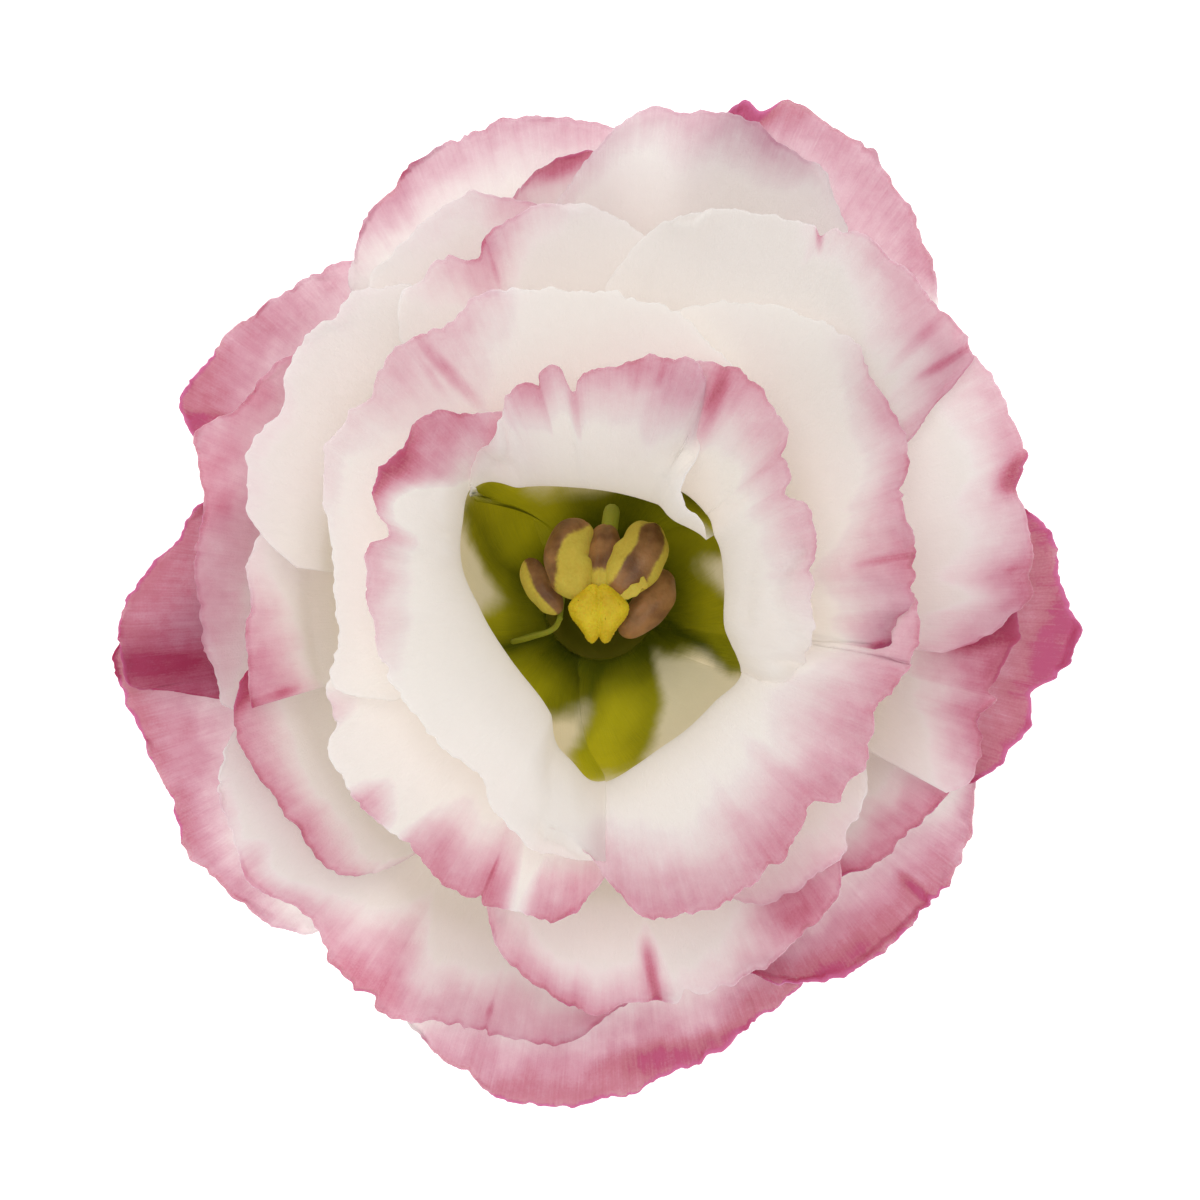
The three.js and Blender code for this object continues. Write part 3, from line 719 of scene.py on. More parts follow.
def petal_material(name, ivory, white, tones, veins, deep_edge):
    """Petal skin: white to ivory, dyed by tones from pale to deep, cream low down and green on the
    claw, with streaks and fine veins up to the rim and small cells all over. The green is painted
    lighter and darker by its folds, and the skin gives off a painted glow of its own colour."""
    material, shader, places = new_material(name)
    dye, edge, green, cream, painted_light = map(places.mark, ("dye", "edge", "green", "cream", "painted_light"))
    laid = places.node("ShaderNodeTexCoord", {}, output=2)
    streaks = laid.noise(1, 3, (170, 22, 1))
    hairs = laid.noise(1, 2, (620, 26, 1))
    cells = places.noise(6000, 1)
    patches = places.noise(420, 3)
    clouds = places.noise(170, 3)
    fading = dye * (1 - dye) * 4
    mottle = patches * 0.5 + clouds * 0.5 - 0.5
    amount = dye * (mottle * 0.6 + 1) + fading * (mottle * 0.5 + streaks * 0.1 - 0.05)
    amount = amount + dye * ((hairs - 0.5) * 0.2 + (streaks - 0.5) * 0.08) * veins
    amount = amount + dye * (cells - 0.5) * 0.16
    line = (1 - edge.step(0.0, 0.5)) * dye.step(0.12, 0.4) * (patches * 1.4 - 0.1).clamped()
    amount = (amount + line * deep_edge).clamped()
    pink = amount.node("ShaderNodeValToRGB", {0: amount},
                       stops=[(place, paint(code)) for place, code in tones])
    # the body turns ivory further in from the rim and in soft clouds, whiter at the rim
    ivory_inward = (clouds * 0.6 + edge.step(2, 14) * 0.6 - 0.1).clamped()
    body = ivory_inward.colour(paint(white), paint(ivory))
    skin = (cream * 0.9).colour(amount.step(0.0, 0.12).colour(body, pink), paint("#dccfb0"))
    # the green is painted lighter and darker by the painted light and shade of its folds
    bright = (painted_light + (clouds - 0.5) * 0.5 + (hairs - 0.5) * 0.35).clamped()
    grown = (green + (patches - 0.5) * 1.2 + (hairs - 0.5) * 0.5).step(-1.1, 1.0)
    surface = grown.colour(skin, bright.colour(paint("#566006"), paint("#c8c01c")))
    # painted glow: the skin gives off its own colour as light, more on the cream and where the
    # green's folds are painted light
    glow = (GLOW + cream * CREAM_GLOW) * (1 - grown) + grown * painted_light * GREEN_GLOW
    grain = hairs * 0.4 + streaks * 0.4 + cells * 0.3 + patches
    plug(shader, {"Base Color": surface,
                  "Emission Color": glow.colour((0, 0, 0, 1), surface),
                  "Emission Strength": PAINTED_GLOW_STRENGTH,
                  "Roughness": 0.52 + 0.16 * streaks,
                  "Specular IOR Level": 0.25,
                  "Subsurface Weight": 0.7,
                  "Subsurface Radius": (1.0, 0.97, 0.94),
                  "Subsurface Scale": 0.0018,
                  "Normal": grain.bump(0.35, 0.00025)})
    return material


ROSES = [(0.0, "#e6e1dd"), (0.18, "#dbc9cb"), (0.4, "#c9a1ae"), (0.6, "#b67b90"), (0.8, "#a6506d"),
         (1.0, "#96294c")]
OUTER = (petal_material("outer_petal_face", "#ede4de", "#efe8e5", ROSES, 1.2, 0.4),
         petal_material("outer_petal_back", "#e1d9d1", "#e5dfdb", ROSES, 1.3, 0.3))

petal("petal_5_upper_left", 11, 141, seed=504, faces=OUTER, lift=0.2,
      rim=[(120, 28), (124, 30.8), (128, 32.4), (132.5, 33.2), (137.5, 33.7), (142, 34.2),
           (149, 34.8), (152.5, 35.3), (155.5, 34.6), (159, 32), (164, 27)],
      blush=[(120, 4, 0.35), (126, 5, 0.45), (133, 6, 0.55), (140, 8, 0.65), (147, 8, 0.75),
             (153, 8, 0.85), (164, 8, 0.85)],
      stains=[(-29.5, 13.8, 2, 0.9, 0, 0.45)])
petal("petal_5_lower_left", 11, 214, seed=506, faces=OUTER, lift=0.3,
      rim=[(178, 31), (183, 35.6), (187, 37.2), (191, 36.5), (198, 35.5), (203, 35.4),
           (206.5, 35.6), (211, 36.2), (214.5, 35.6), (219.5, 35.1), (226, 33.9), (231, 31),
           (236, 27)],
      blush=[(178, 9, 0.8), (186, 10, 0.86), (191, 9, 0.85), (197, 7.6, 0.83), (204, 5.6, 0.8),
             (211, 4, 0.76), (217, 3.4, 0.74), (222, 2.6, 0.65), (226, 1.6, 0.35), (232, 1, 0.1)])
petal("petal_5_bottom", 10.4, 270, seed=507, faces=OUTER, lift=0.3,
      rim=[(236, 29), (241, 32.6), (245, 34.4), (249, 35.6), (254.5, 36.9), (259.5, 37.9),
           (266, 37.8), (270, 37.1), (273, 37), (277, 35.9), (284.5, 34.8), (289, 33.8),
           (294, 32.9), (301, 31), (307, 27)],
      blush=[(236, 1, 0), (245, 1, 0.05), (250, 3.4, 0.55), (256, 5, 0.75), (262, 5.6, 0.8),
             (270, 6.4, 0.85), (277, 6, 0.9), (284, 5.4, 0.85), (291, 5.4, 0.85), (297, 6, 0.9),
             (305, 6, 0.9)],
      pleats=[(278, 1.3, -0.6, 6, 0.8), (270, 0.9, 0.4, 4, 0), (289, 1.2, 0.5, 4, 0)],
      stains=[(3, -34.6, 3, 1.1, 10, 0.25), (9, -33.3, 4, 1.1, 15, 0.25)])
petal("petal_5_left", 10, 189, seed=505, faces=OUTER, lift=0.2,
      rim=[(161, 27), (165.5, 31), (171.5, 32.2), (175, 33.9), (179, 35.3), (183, 35.9),
           (188.5, 36.3), (190.2, 35.7), (190.8, 34.2), (192, 31.8), (194, 29.4), (196, 27)],
      blush=[(161, 8, 0.7), (168, 9, 0.8), (175, 10, 0.88), (183, 12, 0.92), (190, 12, 0.94),
             (198, 12, 0.88)],
      stains=[(-31.5, -4.6, 4, 1.2, 0, 0.25)])
petal("petal_5_top_left", 10, 115, seed=503, faces=OUTER, lift=0.2,
      rim=[(80, 31), (86, 35), (90, 36.2), (98, 36.9), (104.5, 37), (108, 36.4), (113, 36),
           (116.5, 34.9), (121, 34.1), (124.5, 32.4), (128, 30.6), (132, 27)],
      blush=[(80, 3, 0.4), (88, 3.4, 0.44), (96, 3.6, 0.52), (103, 3.6, 0.56), (110, 3.2, 0.56),
             (117, 3, 0.56), (122, 2.4, 0.5), (126, 1.6, 0.25), (132, 1, 0)])
petal("petal_5_low_right", 9.4, -42, seed=508, faces=OUTER, lift=0.3,
      rim=[(-72, 27), (-66, 31), (-61, 32.4), (-57, 33.2), (-54.3, 33.5), (-48.4, 33.8),
           (-43, 33.5), (-37, 33.2), (-32, 32.7), (-28.5, 32.1), (-24, 30.8), (-18, 27)],
      blush=[(-72, 6, 0.76), (-66, 6, 0.8), (-58, 6.4, 0.84), (-50, 6.4, 0.82), (-42, 6, 0.78),
             (-36, 4.6, 0.76), (-30, 2, 0.7), (-25, 1, 0.6), (-18, 1, 0.3)],
      pleats=[(-42, 1.2, -0.6, 6, 0.95), (-52, 1.2, 0.5, 5, 0)],
      stains=[(22, -24, 4, 1.3, 40, 0.1), (17.5, -27.3, 4, 1.3, 30, 0.22)])
petal("petal_5_top_right", 9, 56, seed=502, faces=OUTER, lift=0.3,
      rim=[(36, 29), (40, 33), (42, 34.1), (45.5, 35.4), (48.5, 36.5), (51.5, 37.5), (54.5, 38.4),
           (57.5, 39.1), (60.5, 39.8), (64.5, 40.1), (68, 40.3), (70, 40.2), (72, 39.2),
           (73.5, 39.4), (75, 38.4), (79, 34)],
      blush=[(36, 1, 0), (41, 1.4, 0.05), (44, 2.6, 0.55), (50, 6, 0.62), (58, 7, 0.62),
             (65, 6, 0.62), (70, 4, 0.85), (76, 4, 0.8)],
      stains=[(11, 37.4, 1.6, 1.2, 0, 0.4)])
petal("petal_5_right", 8.4, 8, seed=509, faces=OUTER, lift=0.3, ruffle=1.4,
      rim=[(-33, 26), (-28, 29.8), (-24.5, 31.7), (-20, 32.7), (-16, 33.7), (-11.5, 33.3),
           (-8.5, 34.9), (-3.5, 35.7), (0, 35.2), (3.5, 34.4), (7.5, 34.6), (11, 33.6), (14, 32.2),
           (19, 28)],
      blush=[(-33, 9, 0.85), (-20, 10, 0.95), (-10, 11, 1), (0, 11, 1), (8, 11, 1), (19, 9, 0.95)],
      pleats=[(-10.5, 1, -0.6, 5, 1), (2, 1.2, 0.5, 5, 0)],
      stains=[(34, -2.5, 3, 1.2, 70, 0.15)])
petal("petal_5_top", 8, 78, seed=501, faces=OUTER,
      rim=[(50, 29), (56, 33.4), (59.5, 35), (62, 36.2), (64.5, 36.6), (68, 37), (71, 37.6),
           (73, 38.2), (78.5, 37.9), (84, 37.4), (88, 35.9), (92, 33.2), (96, 30.5), (100, 27)],
      blush=[(50, 1, 0), (62, 1.4, 0.15), (66, 2, 0.35), (72, 3, 0.42), (78, 3.4, 0.42),
             (84, 3, 0.36), (90, 2, 0.3), (96, 1.4, 0.15)])

# ---- Fourth whorl -----------------------------------------------------------------------------
# Two half-hidden petals show between the third whorl and the outermost petals. They are the same
# thin soft sheets on narrow claws, lilac all over.
PINKS = [(0.0, "#ede6e3"), (0.18, "#e6d0d2"), (0.4, "#d9aeb9"), (0.6, "#cb8fa1"), (0.8, "#ba647e"),
         (1.0, "#9f3153")]
MIDDLE = (petal_material("middle_petal_face", "#e9dfd8", "#ebe5e2", PINKS, 0.8, 0.4),
          petal_material("middle_petal_back", "#e5dcd3", "#e7e0db", PINKS, 0.9, 0.3))

petal("petal_4_left_strip", 9, 162, seed=401, faces=MIDDLE,
      rim=[(132, 26), (138, 29.4), (145.5, 30.5), (152, 31), (156, 32.8), (158, 33), (161.5, 31.8),
           (165, 30.9), (171, 30.6), (176.5, 30.4), (180.5, 30), (185, 29.6), (190, 29.3),
           (195, 29.2), (198, 27)],
      blush=[(132, 5, 0.5), (140, 5, 0.55), (150, 7, 0.65), (158, 8, 0.7), (165, 8, 0.65),
             (172, 7, 0.6), (180, 5, 0.55), (187, 3, 0.36), (193, 1, 0.1)])
petal("petal_4_behind_top", 9, 88, seed=402, faces=MIDDLE,
      rim=[(82, 29), (86, 32.6), (91, 34.1), (96, 33.4), (101, 32), (107, 28)],
      blush=[(82, 3.4, 0.55), (95, 3, 0.5), (107, 3, 0.42)],
      stains=[(-2.8, 33.2, 3, 0.9, 20, 0.45)])

# ---- Third whorl ------------------------------------------------------------------------------
# Twelve petals fill the bloom behind the second whorl, in seven layers, each on its own claw. The
# soft sheets at the top are nearly white, the ones at the right and below have broad rose edges.
petal("petal_3_bottom_left", 9, 238, seed=307, faces=MIDDLE, lift=0.3,
      rim=[(196, 26), (200.5, 30.2), (204, 31.4), (207, 32.2), (212.5, 32.7), (217, 33.6),
           (220, 33.3), (225.5, 32.2), (231, 32.8), (232.5, 33.6), (236.5, 33.7), (237.5, 34.4),
           (240, 33.8), (241, 34.7), (244, 34.7), (248, 33.8), (250.5, 33.6), (255, 32.8),
           (255.5, 33.3), (261, 33.4), (265, 32.9), (269.5, 31.5), (274, 29.8), (280, 26)],
      blush=[(196, 1, 0), (204, 1, 0.05), (208, 1.2, 0.3), (213, 0.9, 0.2), (216, 2, 0.55),
             (219, 1.4, 0.6), (224, 1.4, 0.6), (228, 2, 0.65), (233, 4, 0.78), (238, 6.2, 0.84),
             (241, 6.6, 0.8), (245, 3.6, 0.62), (252, 3.4, 0.66), (264, 3.6, 0.68), (272, 3, 0.6)],
      pleats=[(241, 1.3, -0.7, 8, 0.6), (236, 1.6, 0.6, 6, 0), (233, 0.8, -0.4, 3, 0),
              (254.8, 0.8, -0.4, 4, 0.7)])
petal("petal_3_lower_left", 8, 211, seed=306, faces=MIDDLE, lift=0.4,
      rim=[(184, 23), (190, 27), (192, 27.8), (194.5, 28.5), (201, 29.1), (205, 28.8), (212, 28.3),
           (219, 28.5), (224, 28.7), (228, 27.6), (234, 23)],
      blush=[(186, 2, 0.9), (191, 2, 0.9), (195, 3, 0.75), (202, 3, 0.75), (209, 2.6, 0.8),
             (216, 2.8, 0.7), (222, 2.4, 0.6), (226, 2, 0.5), (230, 1, 0.2)],
      pleats=[(192, 0.7, 0.7, 2, 0.9)],
      stains=[(-26.9, -6.3, 1.8, 0.9, 60, 0.4)])
petal("petal_3_low_right", 7.4, 312, seed=310, faces=MIDDLE, lift=0.2,
      rim=[(301, 23), (306, 26.4), (312, 27.5), (315, 28.1), (318.5, 28.5), (322, 28.5),
           (326.5, 29.3), (330.5, 29.7), (332.5, 30), (335, 29.4), (339, 28), (343, 24)],
      blush=[(301, 4, 0.7), (308, 3.4, 0.76), (318, 3, 0.78), (325, 3.6, 0.82), (331, 3.4, 0.8),
             (335, 2.4, 0.5), (340, 2, 0.3)])
petal("petal_3_left", 7, 182, seed=305, faces=MIDDLE, lift=0.3,
      rim=[(156, 22), (163, 25.6), (169.5, 26.5), (172.5, 26.7), (179, 26.3), (182.5, 26.6),
           (189, 26.9), (193, 27.1), (196.5, 27.2)],
      blush=[(156, 1, 0), (170, 1.4, 0.12), (176, 2, 0.25), (182, 3, 0.45), (188, 4, 0.65),
             (193, 4, 0.75), (197, 6, 0.85)],
      pleats=[(195.6, 1, -0.4, 7, 0.8)])
petal("petal_3_behind_top_left", 7, 113, seed=303, faces=MIDDLE,
      rim=[(93, 27), (98, 30.4), (101, 31.1), (105, 31.8), (107.5, 32.4), (113.5, 31.9),
           (119.5, 30.7), (125, 30.2), (131, 26)],
      blush=[(93, 3, 0.5), (99, 3, 0.45), (104, 3, 0.36), (110, 2, 0.2), (118, 2, 0.08),
             (131, 1, 0)])
petal("petal_3_right_lower", 6.4, -21, seed=311, faces=MIDDLE, lift=0.3, ruffle=1.5,
      rim=[(-28.5, 29.6), (-26, 30.6), (-19.5, 30.4), (-17, 29.7), (-13.5, 30.6), (-12.5, 29.9),
           (-7.5, 30.7), (-6, 31), (-3.5, 32), (-1, 31.4), (3, 30.6), (7, 27)],
      blush=[(-29, 1, 0.1), (-26, 2, 0.5), (-20, 3, 0.75), (-14, 4.4, 0.85), (-9, 6.2, 0.9),
             (-4, 6.6, 0.85), (0, 6, 0.8), (4, 4, 0.6)],
      pleats=[(-5, 1.1, -0.5, 7, 0.85), (-13, 0.9, 0.5, 4, 0), (-18, 0.8, -0.4, 3, 0)],
      stains=[(27.2, -1.7, 4.5, 1.6, 5, 0.6)])
petal("petal_3_upper_left", 6, 148, seed=304, faces=MIDDLE, lift=0.2,
      rim=[(116, 25), (121, 28.2), (126.5, 29.5), (130, 29.8), (132.5, 29.3), (135, 29.8),
           (142.5, 29.4), (149, 28.2), (154.5, 28.9), (160.5, 28.2), (166.5, 26.9), (173, 23)],
      blush=[(116, 1, 0), (130, 1.6, 0.12), (140, 1.4, 0.1), (150, 1.4, 0.12), (160, 1.8, 0.16),
             (170, 1, 0.05)])
petal("petal_3_bottom", 6, 282, seed=308, faces=MIDDLE, lift=0.3,
      rim=[(249, 24), (253, 26.6), (258, 28.4), (264, 29.8), (270, 30.7), (273.5, 29.9),
           (278, 30.1), (281, 30.2), (282.5, 29.6), (284.5, 30.2), (292.5, 30.1), (298, 29.4),
           (304, 29), (309, 28.2), (313, 26.6), (317, 23)],
      blush=[(249, 3, 0.4), (253, 2.8, 0.55), (258, 2.4, 0.66), (264, 2.2, 0.72), (270, 2.2, 0.7),
             (275, 2.2, 0.6), (278, 4.6, 0.7), (281.5, 1.6, 0.2), (286, 2, 0.3), (292, 3, 0.45),
             (300, 5, 0.55), (308, 6, 0.6), (314, 6, 0.6)],
      pleats=[(278, 0.8, -0.6, 6.5, 0.9), (286, 1.2, 0.5, 4, 0)],
      stains=[(14, -22.5, 3.5, 2.5, 45, 0.35)])
petal("petal_3_right_upper", [(0, 5.3), (20, 5)], 2, seed=312, faces=MIDDLE, lift=0.3,
      rim=[(-8, 26), (-4, 29.6), (-1, 31.2), (0.5, 32.3), (3.5, 32.3), (6, 32.5), (13, 32.8),
           (16, 32.7), (17.5, 33.5), (19.5, 34.1), (24, 34.1), (29, 34.2), (33.5, 33.8), (40, 32),
           (46, 28)],
      blush=[(-8, 4, 0.5), (-2, 4, 0.6), (1, 3.6, 0.8), (5, 4.4, 0.85), (10, 3, 0.55),
             (15, 3.4, 0.5), (18, 3, 0.8), (22, 3.4, 0.65), (28, 3.4, 0.6), (33, 3.4, 0.55),
             (38, 2, 0.4), (44, 1, 0.1)],
      pleats=[(5, 0.8, -0.5, 4, 0.85), (17.5, 0.7, 0.6, 2.4, 0.85)],
      stains=[(31, 9.6, 2, 1.2, 60, 0.4)])
petal("petal_3_low_right_small", 5, 315, seed=309, faces=MIDDLE, lift=0.2,
      rim=[(292, 23), (298, 25.6), (304, 26.1), (310.5, 26.1), (313, 26.4), (315.5, 26.1),
           (317, 25.2), (323.5, 24.7), (328.5, 23.6), (332, 21)],
      blush=[(292, 3, 0.3), (300, 3, 0.4), (306, 3, 0.4), (312, 2.4, 0.35), (318, 1.6, 0.2),
             (325, 1, 0.04), (332, 1, 0)])
petal("petal_3_top_left", 5, 106, seed=302, faces=MIDDLE, lift=0.2,
      rim=[(76, 24), (82, 27.4), (85.5, 28.6), (88, 29.3), (93, 30.2), (98, 30.4), (101, 30),
           (104.5, 29.7), (107.5, 28.7), (109, 27.8), (110.5, 27.7), (114, 28.4), (116.5, 28.5),
           (119, 27.9), (122.5, 27.8), (127, 25)],
      blush=[(76, 1, 0), (92, 1.4, 0.1), (97, 2.2, 0.25), (101, 2.6, 0.32), (105, 4, 0.5),
             (108, 5, 0.6), (111, 4, 0.5), (116, 3, 0.4), (120, 2, 0.2), (124, 1, 0)],
      pleats=[(107.5, 0.9, -0.5, 6, 0.6)])
petal("petal_3_top_right", 4, 68, seed=301, faces=MIDDLE, lift=0.2,
      rim=[(26, 24), (30, 28.6), (32.5, 32.2), (33.5, 33.8), (35, 34), (39, 34), (41.5, 33.9),
           (45.5, 34.2), (48, 34.3), (53, 34.3), (56, 33.7), (58, 33.3), (59.2, 32.2), (60.5, 32.7),
           (62.5, 32.7), (66.5, 31.9), (73, 31.2), (77, 30.2), (80.5, 28.9), (84, 27.4), (89, 24)],
      blush=[(26, 5, 0.4), (31, 4.6, 0.54), (35, 5.4, 0.65), (38, 4.2, 0.54), (45, 4.2, 0.52),
             (50, 3.6, 0.46), (55, 2.6, 0.34), (60, 2, 0.15), (64, 1, 0)],
      pleats=[(35, 0.8, -0.6, 7, 0.8), (38, 1.2, 0.5, 6, 0.2)],
      stains=[(16.4, 27.7, 1.2, 0.3, 90, 0.4), (23.7, 19.7, 3.2, 0.5, 44, 0.2)])

# ---- Second whorl -----------------------------------------------------------------------------
# Three wide petals on broader claws stand close behind the innermost ones and show as white bands
# round them, the left one running on over the top. The bottom petal of the innermost four comes
# before them, since the right one lies on its end.
INNER = (petal_material("petal_face", "#f8f0e8", "#f9f4f0", PINKS, 0.7, 0.3),
         petal_material("petal_back", "#f1e9dd", "#f3ece6", PINKS, 0.9, 0.25))

petal("petal_2_low_left", 3, 235, seed=203, faces=INNER, lift=0.3,
      rim=[(190, 18), (197, 21.6), (203.5, 21.7), (208, 23.3), (213, 23.3), (221, 23.4),
           (228, 23.4), (232, 23.3), (238, 23.9), (242, 24.2), (247, 24), (247.8, 23.5),
           (248.5, 24), (253.5, 23.9), (257.5, 24), (261, 24), (264.5, 23.6), (266.5, 22.8),
           (269.5, 21), (276, 18)],
      blush=[(196, 1, 0), (202, 1.6, 0.35), (206, 1, 0.02), (215, 1, 0), (220, 2.4, 0.6),
             (225, 1.6, 0.3), (228, 1, 0), (231, 2.6, 0.5), (236, 4.4, 0.75), (244, 4.4, 0.75),
             (249, 4.8, 0.85), (252, 4, 0.6), (254.5, 1.5, 0.08), (258, 3.4, 0.65), (264, 4, 0.72),
             (268, 4, 0.6), (272, 3, 0.4)],
      pleats=[(248, 0.8, -0.6, 6, 0.9), (256, 1, 0.4, 4, 0)])
petal("petal_1_bottom",
      ([(214, 0.8), (262, 0.7), (280, 0.45), (296, 0.1), (338, 0.2), (344, 0.5), (349, 2.6)],
       [(214, 0.8), (262, 0.7), (280, 0.3), (296, 0), (316, 0), (330, 0.7), (339, 1.7),
        (347, 2.6)]),
      280, seed=104, faces=INNER, claw_width=9, lift=0.2,
      rim=[(214, 12.4), (221, 15), (232, 15), (244, 16), (254, 16.8), (262, 17.6), (267, 18.6),
           (269.5, 19.4), (271, 20.6), (275, 22.6), (277.5, 23.7), (281.5, 24.3), (286, 24.3),
           (293, 24.3), (299, 24), (303, 23.5), (305.5, 23.7), (309, 23.2), (313, 22.6), (315, 22),
           (317.5, 21.9), (320.5, 23.2), (324, 23.1), (327, 23.4), (329.5, 23.3), (332.5, 22.7),
           (336, 22.3), (341.5, 22.5), (347.5, 23.4), (353.5, 24), (359, 24), (362, 23.6),
           (366, 21)],
      blush=[(214, 1, 0), (264, 1, 0.1), (269, 3, 0.45), (273, 4, 0.6), (282, 5, 0.66),
             (293, 5, 0.67), (304, 4.8, 0.67), (315, 4.6, 0.68), (330, 5.4, 0.7), (342, 5, 0.68),
             (352, 3.4, 0.68), (360, 2, 0.6)],
      pleats=[(316, 1.2, -0.5, 3, 0), (336, 1.4, 0.5, 4, 0), (303, 1.3, 0.4, 3, 0)])
petal("petal_2_right", [(-8, 1.8), (12, 2.6), (30, 3)], 34, seed=202, faces=INNER, lift=0.3,
      ruffle=1.3, hug=(6, 0),
      rim=[(-9.4, 20.8), (-8.4, 21.7), (-7, 22.1), (-3, 22.3), (-1.5, 22.9), (1, 23.6), (4.5, 23.8),
           (7.5, 23.7), (10, 24.2), (13.5, 24.1), (16.5, 23.7), (19, 24.2), (21, 24.3),
           (22.5, 25.1), (27.5, 26), (33.5, 26.4), (37, 26.4), (46.5, 27.3), (55.5, 26.4), (65, 25),
           (75, 23), (82, 20)],
      blush=[(-9, 2.4, 0.6), (-3, 3.6, 0.7), (3, 4.4, 0.7), (9, 5.4, 0.72), (14, 4.2, 0.65),
             (20, 3, 0.62), (26, 2.8, 0.52), (34, 2.5, 0.54), (40, 2.1, 0.42), (48, 2, 0.1),
             (56, 1, 0)],
      pleats=[(9, 1.1, -0.5, 7, 0.8), (-1, 0.9, 0.4, 4, 0), (16, 0.9, 0.4, 3.5, 0)],
      stains=[(20.9, -3.2, 1.3, 0.6, 10, 0.5)])
petal("petal_2_left", 2, 137, seed=201, faces=INNER, lift=0.2,
      rim=[(54, 18), (60, 20.2), (67.5, 21.5), (72.5, 22.6), (78, 23), (90, 23.6), (104.5, 24.4),
           (113, 24.9), (114.5, 24.3), (118, 23.8), (122, 24.1), (127.5, 24.7), (131.5, 24.4),
           (137, 23.5), (143, 23.6), (150.5, 23.7), (155, 22.9), (164.5, 21.3), (171, 20.5),
           (180, 20), (187.5, 19.8), (193.5, 20.8), (198, 20.8), (205, 17)],
      blush=[(54, 1, 0), (104, 2, 0.04), (110, 3.4, 0.35), (120, 4.6, 0.5), (131, 4.6, 0.48),
             (140, 3, 0.3), (150, 1.6, 0.25), (158, 1.2, 0.2), (168, 1, 0)],
      pleats=[(126, 1.0, -0.4, 7, 0.45)],
      stains=[(-11.1, 17.2, 3.2, 0.55, -47, 0.35)])

# ---- Innermost petals -------------------------------------------------------------------------
# Four petals rise on the broadest claws round the throat as a tube and roll out over its lip. They
# lie close on one another, and on the bottom one above, as one white ring with a ruffled pink rim.
petal("petal_1_left",
      [(116, 0.7), (128, 0.6), (140, 0.3), (150, 0.1), (178, 0.05), (250, 0), (271, 0)],
      195, seed=103, faces=INNER, claw_width=9, lift=0.3, hug=(0, 9),
      rim=[(108, 13), (112, 15.6), (116, 16.6), (122, 17.2), (127, 18.2), (129, 19), (132.5, 19.5),
           (136, 19.5), (140, 19.2), (142, 19), (145.5, 19.3), (148.5, 19.7), (155, 18.7),
           (158, 17.8), (159.5, 17), (162, 16.8), (166, 18), (172, 17.7), (179, 17.5), (189, 17.2),
           (195, 17), (204, 16.5), (212, 16.1), (218, 16), (226, 15.8), (234.5, 15.8),
           (240.6, 16.8), (246, 17.8), (252, 18.4), (258.5, 18.8), (264, 19.1), (271.5, 19.3)],
      blush=[(108, 4, 0.3), (116, 5, 0.5), (122, 5.6, 0.62), (130, 6.2, 0.64), (136, 5.8, 0.68),
             (141, 4.6, 0.8), (146, 3.2, 0.95), (151, 2, 0.8), (156, 1.8, 0.72), (162, 1.6, 0.6),
             (168, 2.2, 0.6), (180, 2.2, 0.45), (190, 1.8, 0.3), (197, 1.4, 0.12), (206, 1, 0)],
      pleats=[(124, 1.4, 0.5, 5, 0), (146, 1.2, -0.5, 5, 0), (161, 0.9, -0.4, 3, 0)],
      stains=[(-15.9, 10.2, 2.8, 1.6, 65, 0.25), (-11.4, 12.2, 3.4, 2.8, 0, 0.08),
              (-13.5, 7.4, 4, 1.6, 15, -0.35)])
petal("petal_1_right",
      [(-31, -0.1), (-10, 0), (30, 0.1), (37, 0.4), (43, 0.6), (52, 0.8), (60, 0.8)],
      20, seed=102, faces=INNER, claw_width=8, lift=0.4, ruffle=1.2, hug=(7, 0),
      rim=[(-25.5, 13), (-22, 14.9), (-16, 15.8), (-8, 16), (2, 16), (9.5, 16.1), (14.5, 16.8),
           (21.5, 17.3), (26.5, 17.4), (28.5, 16.8), (31.5, 16.5), (33.5, 17.4), (37, 17.8),
           (40, 17.8), (41, 18.7), (44, 19.5), (47, 19.8), (50.5, 19.9), (54.5, 20.3), (57, 20.1),
           (60, 20.3), (62, 20.1), (65.5, 20.1), (70, 19.4), (74, 18.6), (82, 14)],
      blush=[(-24, 1, 0), (-6, 2, 0.08), (4, 2.4, 0.25), (12, 2.8, 0.42), (20, 3, 0.5),
             (30, 2.8, 0.5), (38, 3, 0.5), (46, 3.6, 0.56), (54, 4.4, 0.6), (60, 4.6, 0.8),
             (65, 5, 0.6), (74, 4, 0.4)],
      pleats=[(64, 0.8, -0.5, 6.5, 0.6), (52, 1, 0.4, 3, 0), (43, 0.9, -0.4, 3, 0),
              (34, 0.9, 0.4, 3, 0)],
      stains=[(8.4, 15, 2.8, 0.7, 70, 0.35)])
petal("petal_1_top", [(31, -0.3), (50, -0.25), (60, 0)], 88, seed=101, faces=INNER, lift=0.4,
      hug=(16, 7), loose=6,
      rim=[(31.5, 9.4), (36.8, 9.9), (43.8, 10.4), (49, 10.6), (53.5, 11.1), (57, 12.1), (60, 13.8),
           (62.5, 16), (65, 18.6), (67.5, 19.6), (70, 19.9), (74, 19.1), (78.5, 19.2), (83, 18.4),
           (87.5, 17.9), (92.5, 17.8), (95, 17.1), (97, 15.9), (98.5, 16.8), (99.5, 17.7),
           (102, 18), (104.5, 17.9), (105.5, 17.2), (107.5, 17.5), (111, 17.6), (114, 17.4),
           (117, 16.4), (120, 15.6), (124, 14.9), (129, 14.2), (134, 13.6), (138, 12.9),
           (141, 11.8)],
      blush=[(60, 2, 0), (63, 3, 0.3), (67, 4, 0.64), (72, 4.4, 0.66), (80, 4, 0.66),
             (90, 2.8, 0.58), (96, 2.4, 0.58), (101, 2.8, 0.6), (110, 2.8, 0.62), (115, 2, 0.35),
             (118, 1, 0)],
      pleats=[(75, 0.7, 0.35, 4, 0.7), (82, 1.2, -0.3, 4, 0)])

